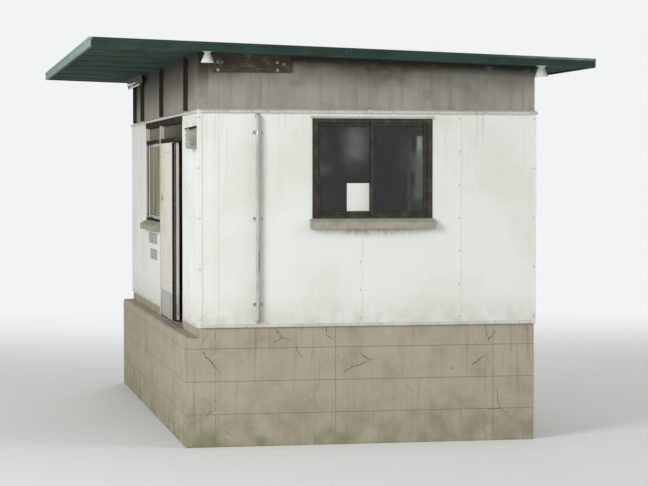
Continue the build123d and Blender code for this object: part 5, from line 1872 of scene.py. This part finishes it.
# %% Lamps, world and floor
WORLD_LIGHT = 0.5
WORLD_COLOUR = "#F4F6F8"
BACKGROUND = "#F2F3F4"
FLOOR_COLOUR = "#E4E4E2"
FLOOR_HALF = 150.0
FLOOR_FADE_START = 7.0
FLOOR_FADE_END = 16.0
LAMP_SIZE = 7.0
LAMP_TARGET = Vector((0, 0, 1.8))


def soft_lamp(name, place, power):
    """A large square lamp that looks at the middle of the building."""
    data = bpy.data.lights.new(name, "AREA")
    data.shape = "SQUARE"
    data.size = LAMP_SIZE
    data.energy = power
    lamp = put_in_scene(name, data)
    stand_looking(lamp, place, LAMP_TARGET - Vector(place))
    lamp.visible_camera = False
    print(name, power, "W at", place)


def emptied_tree(owner):
    """The nodes of a world or a material, cleared."""
    owner.use_nodes = True
    owner.node_tree.nodes.clear()
    return owner.node_tree


def seen_directly(tree):
    """A mask that is 1 for camera rays, also through glass and in a mirror."""
    rays = add(tree, "ShaderNodeLightPath").outputs
    passed = either(tree, rays["Is Camera Ray"], rays["Is Transmission Ray"])
    return either(tree, passed, rays["Is Glossy Ray"])


def pale_world():
    world = bpy.data.worlds.new("studio")
    bpy.context.scene.world = world
    tree = emptied_tree(world)
    lights = add(tree, "ShaderNodeBackground", {"Color": linear(WORLD_COLOUR), "Strength": WORLD_LIGHT})
    shows = add(tree, "ShaderNodeBackground", {"Color": linear(BACKGROUND), "Strength": 1.0})
    mix = {0: seen_directly(tree), 1: lights.outputs[0], 2: shows.outputs[0]}
    mixed = add(tree, "ShaderNodeMixShader", mix)
    add(tree, "ShaderNodeOutputWorld", {"Surface": mixed.outputs[0]})


def pale_floor():
    """A floor that shadows fall on near the building, and that fades to the background further out."""
    material = bpy.data.materials.new("pale_floor")
    tree = emptied_tree(material)
    place = add(tree, "ShaderNodeTexCoord").outputs["Object"]
    distance = add(tree, "ShaderNodeVectorMath", {0: place}, operation="LENGTH").outputs["Value"]
    limits = {"Value": distance, "From Min": FLOOR_FADE_START, "From Max": FLOOR_FADE_END}
    far = add(tree, "ShaderNodeMapRange", limits, interpolation_type="SMOOTHSTEP").outputs[RESULT]
    fade = both(tree, far, seen_directly(tree))
    near = add(tree, "ShaderNodeBsdfDiffuse", {"Color": linear(FLOOR_COLOUR)})
    glow = add(tree, "ShaderNodeEmission", {"Color": linear(BACKGROUND), "Strength": 1.0})
    mixed = add(tree, "ShaderNodeMixShader", {0: fade, 1: near.outputs[0], 2: glow.outputs[0]})
    add(tree, "ShaderNodeOutputMaterial", {"Surface": mixed.outputs[0]})
    corners = [(x, y, 0) for x, y in corners_of(-FLOOR_HALF, FLOOR_HALF, -FLOOR_HALF, FLOOR_HALF)]
    data = bpy.data.meshes.new("floor")
    data.from_pydata(corners, [], [(0, 1, 2, 3)])
    data.materials.append(material)
    put_in_scene("floor", data)


soft_lamp("front_left_lamp", (-13.0, -12.0, 7.0), 1900)
soft_lamp("right_lamp", (14.0, -8.0, 8.0), 700)
soft_lamp("back_lamp", (2.0, 15.0, 8.0), 700)
pale_world()
pale_floor()
bpy.context.scene.view_settings.view_transform = "Standard"
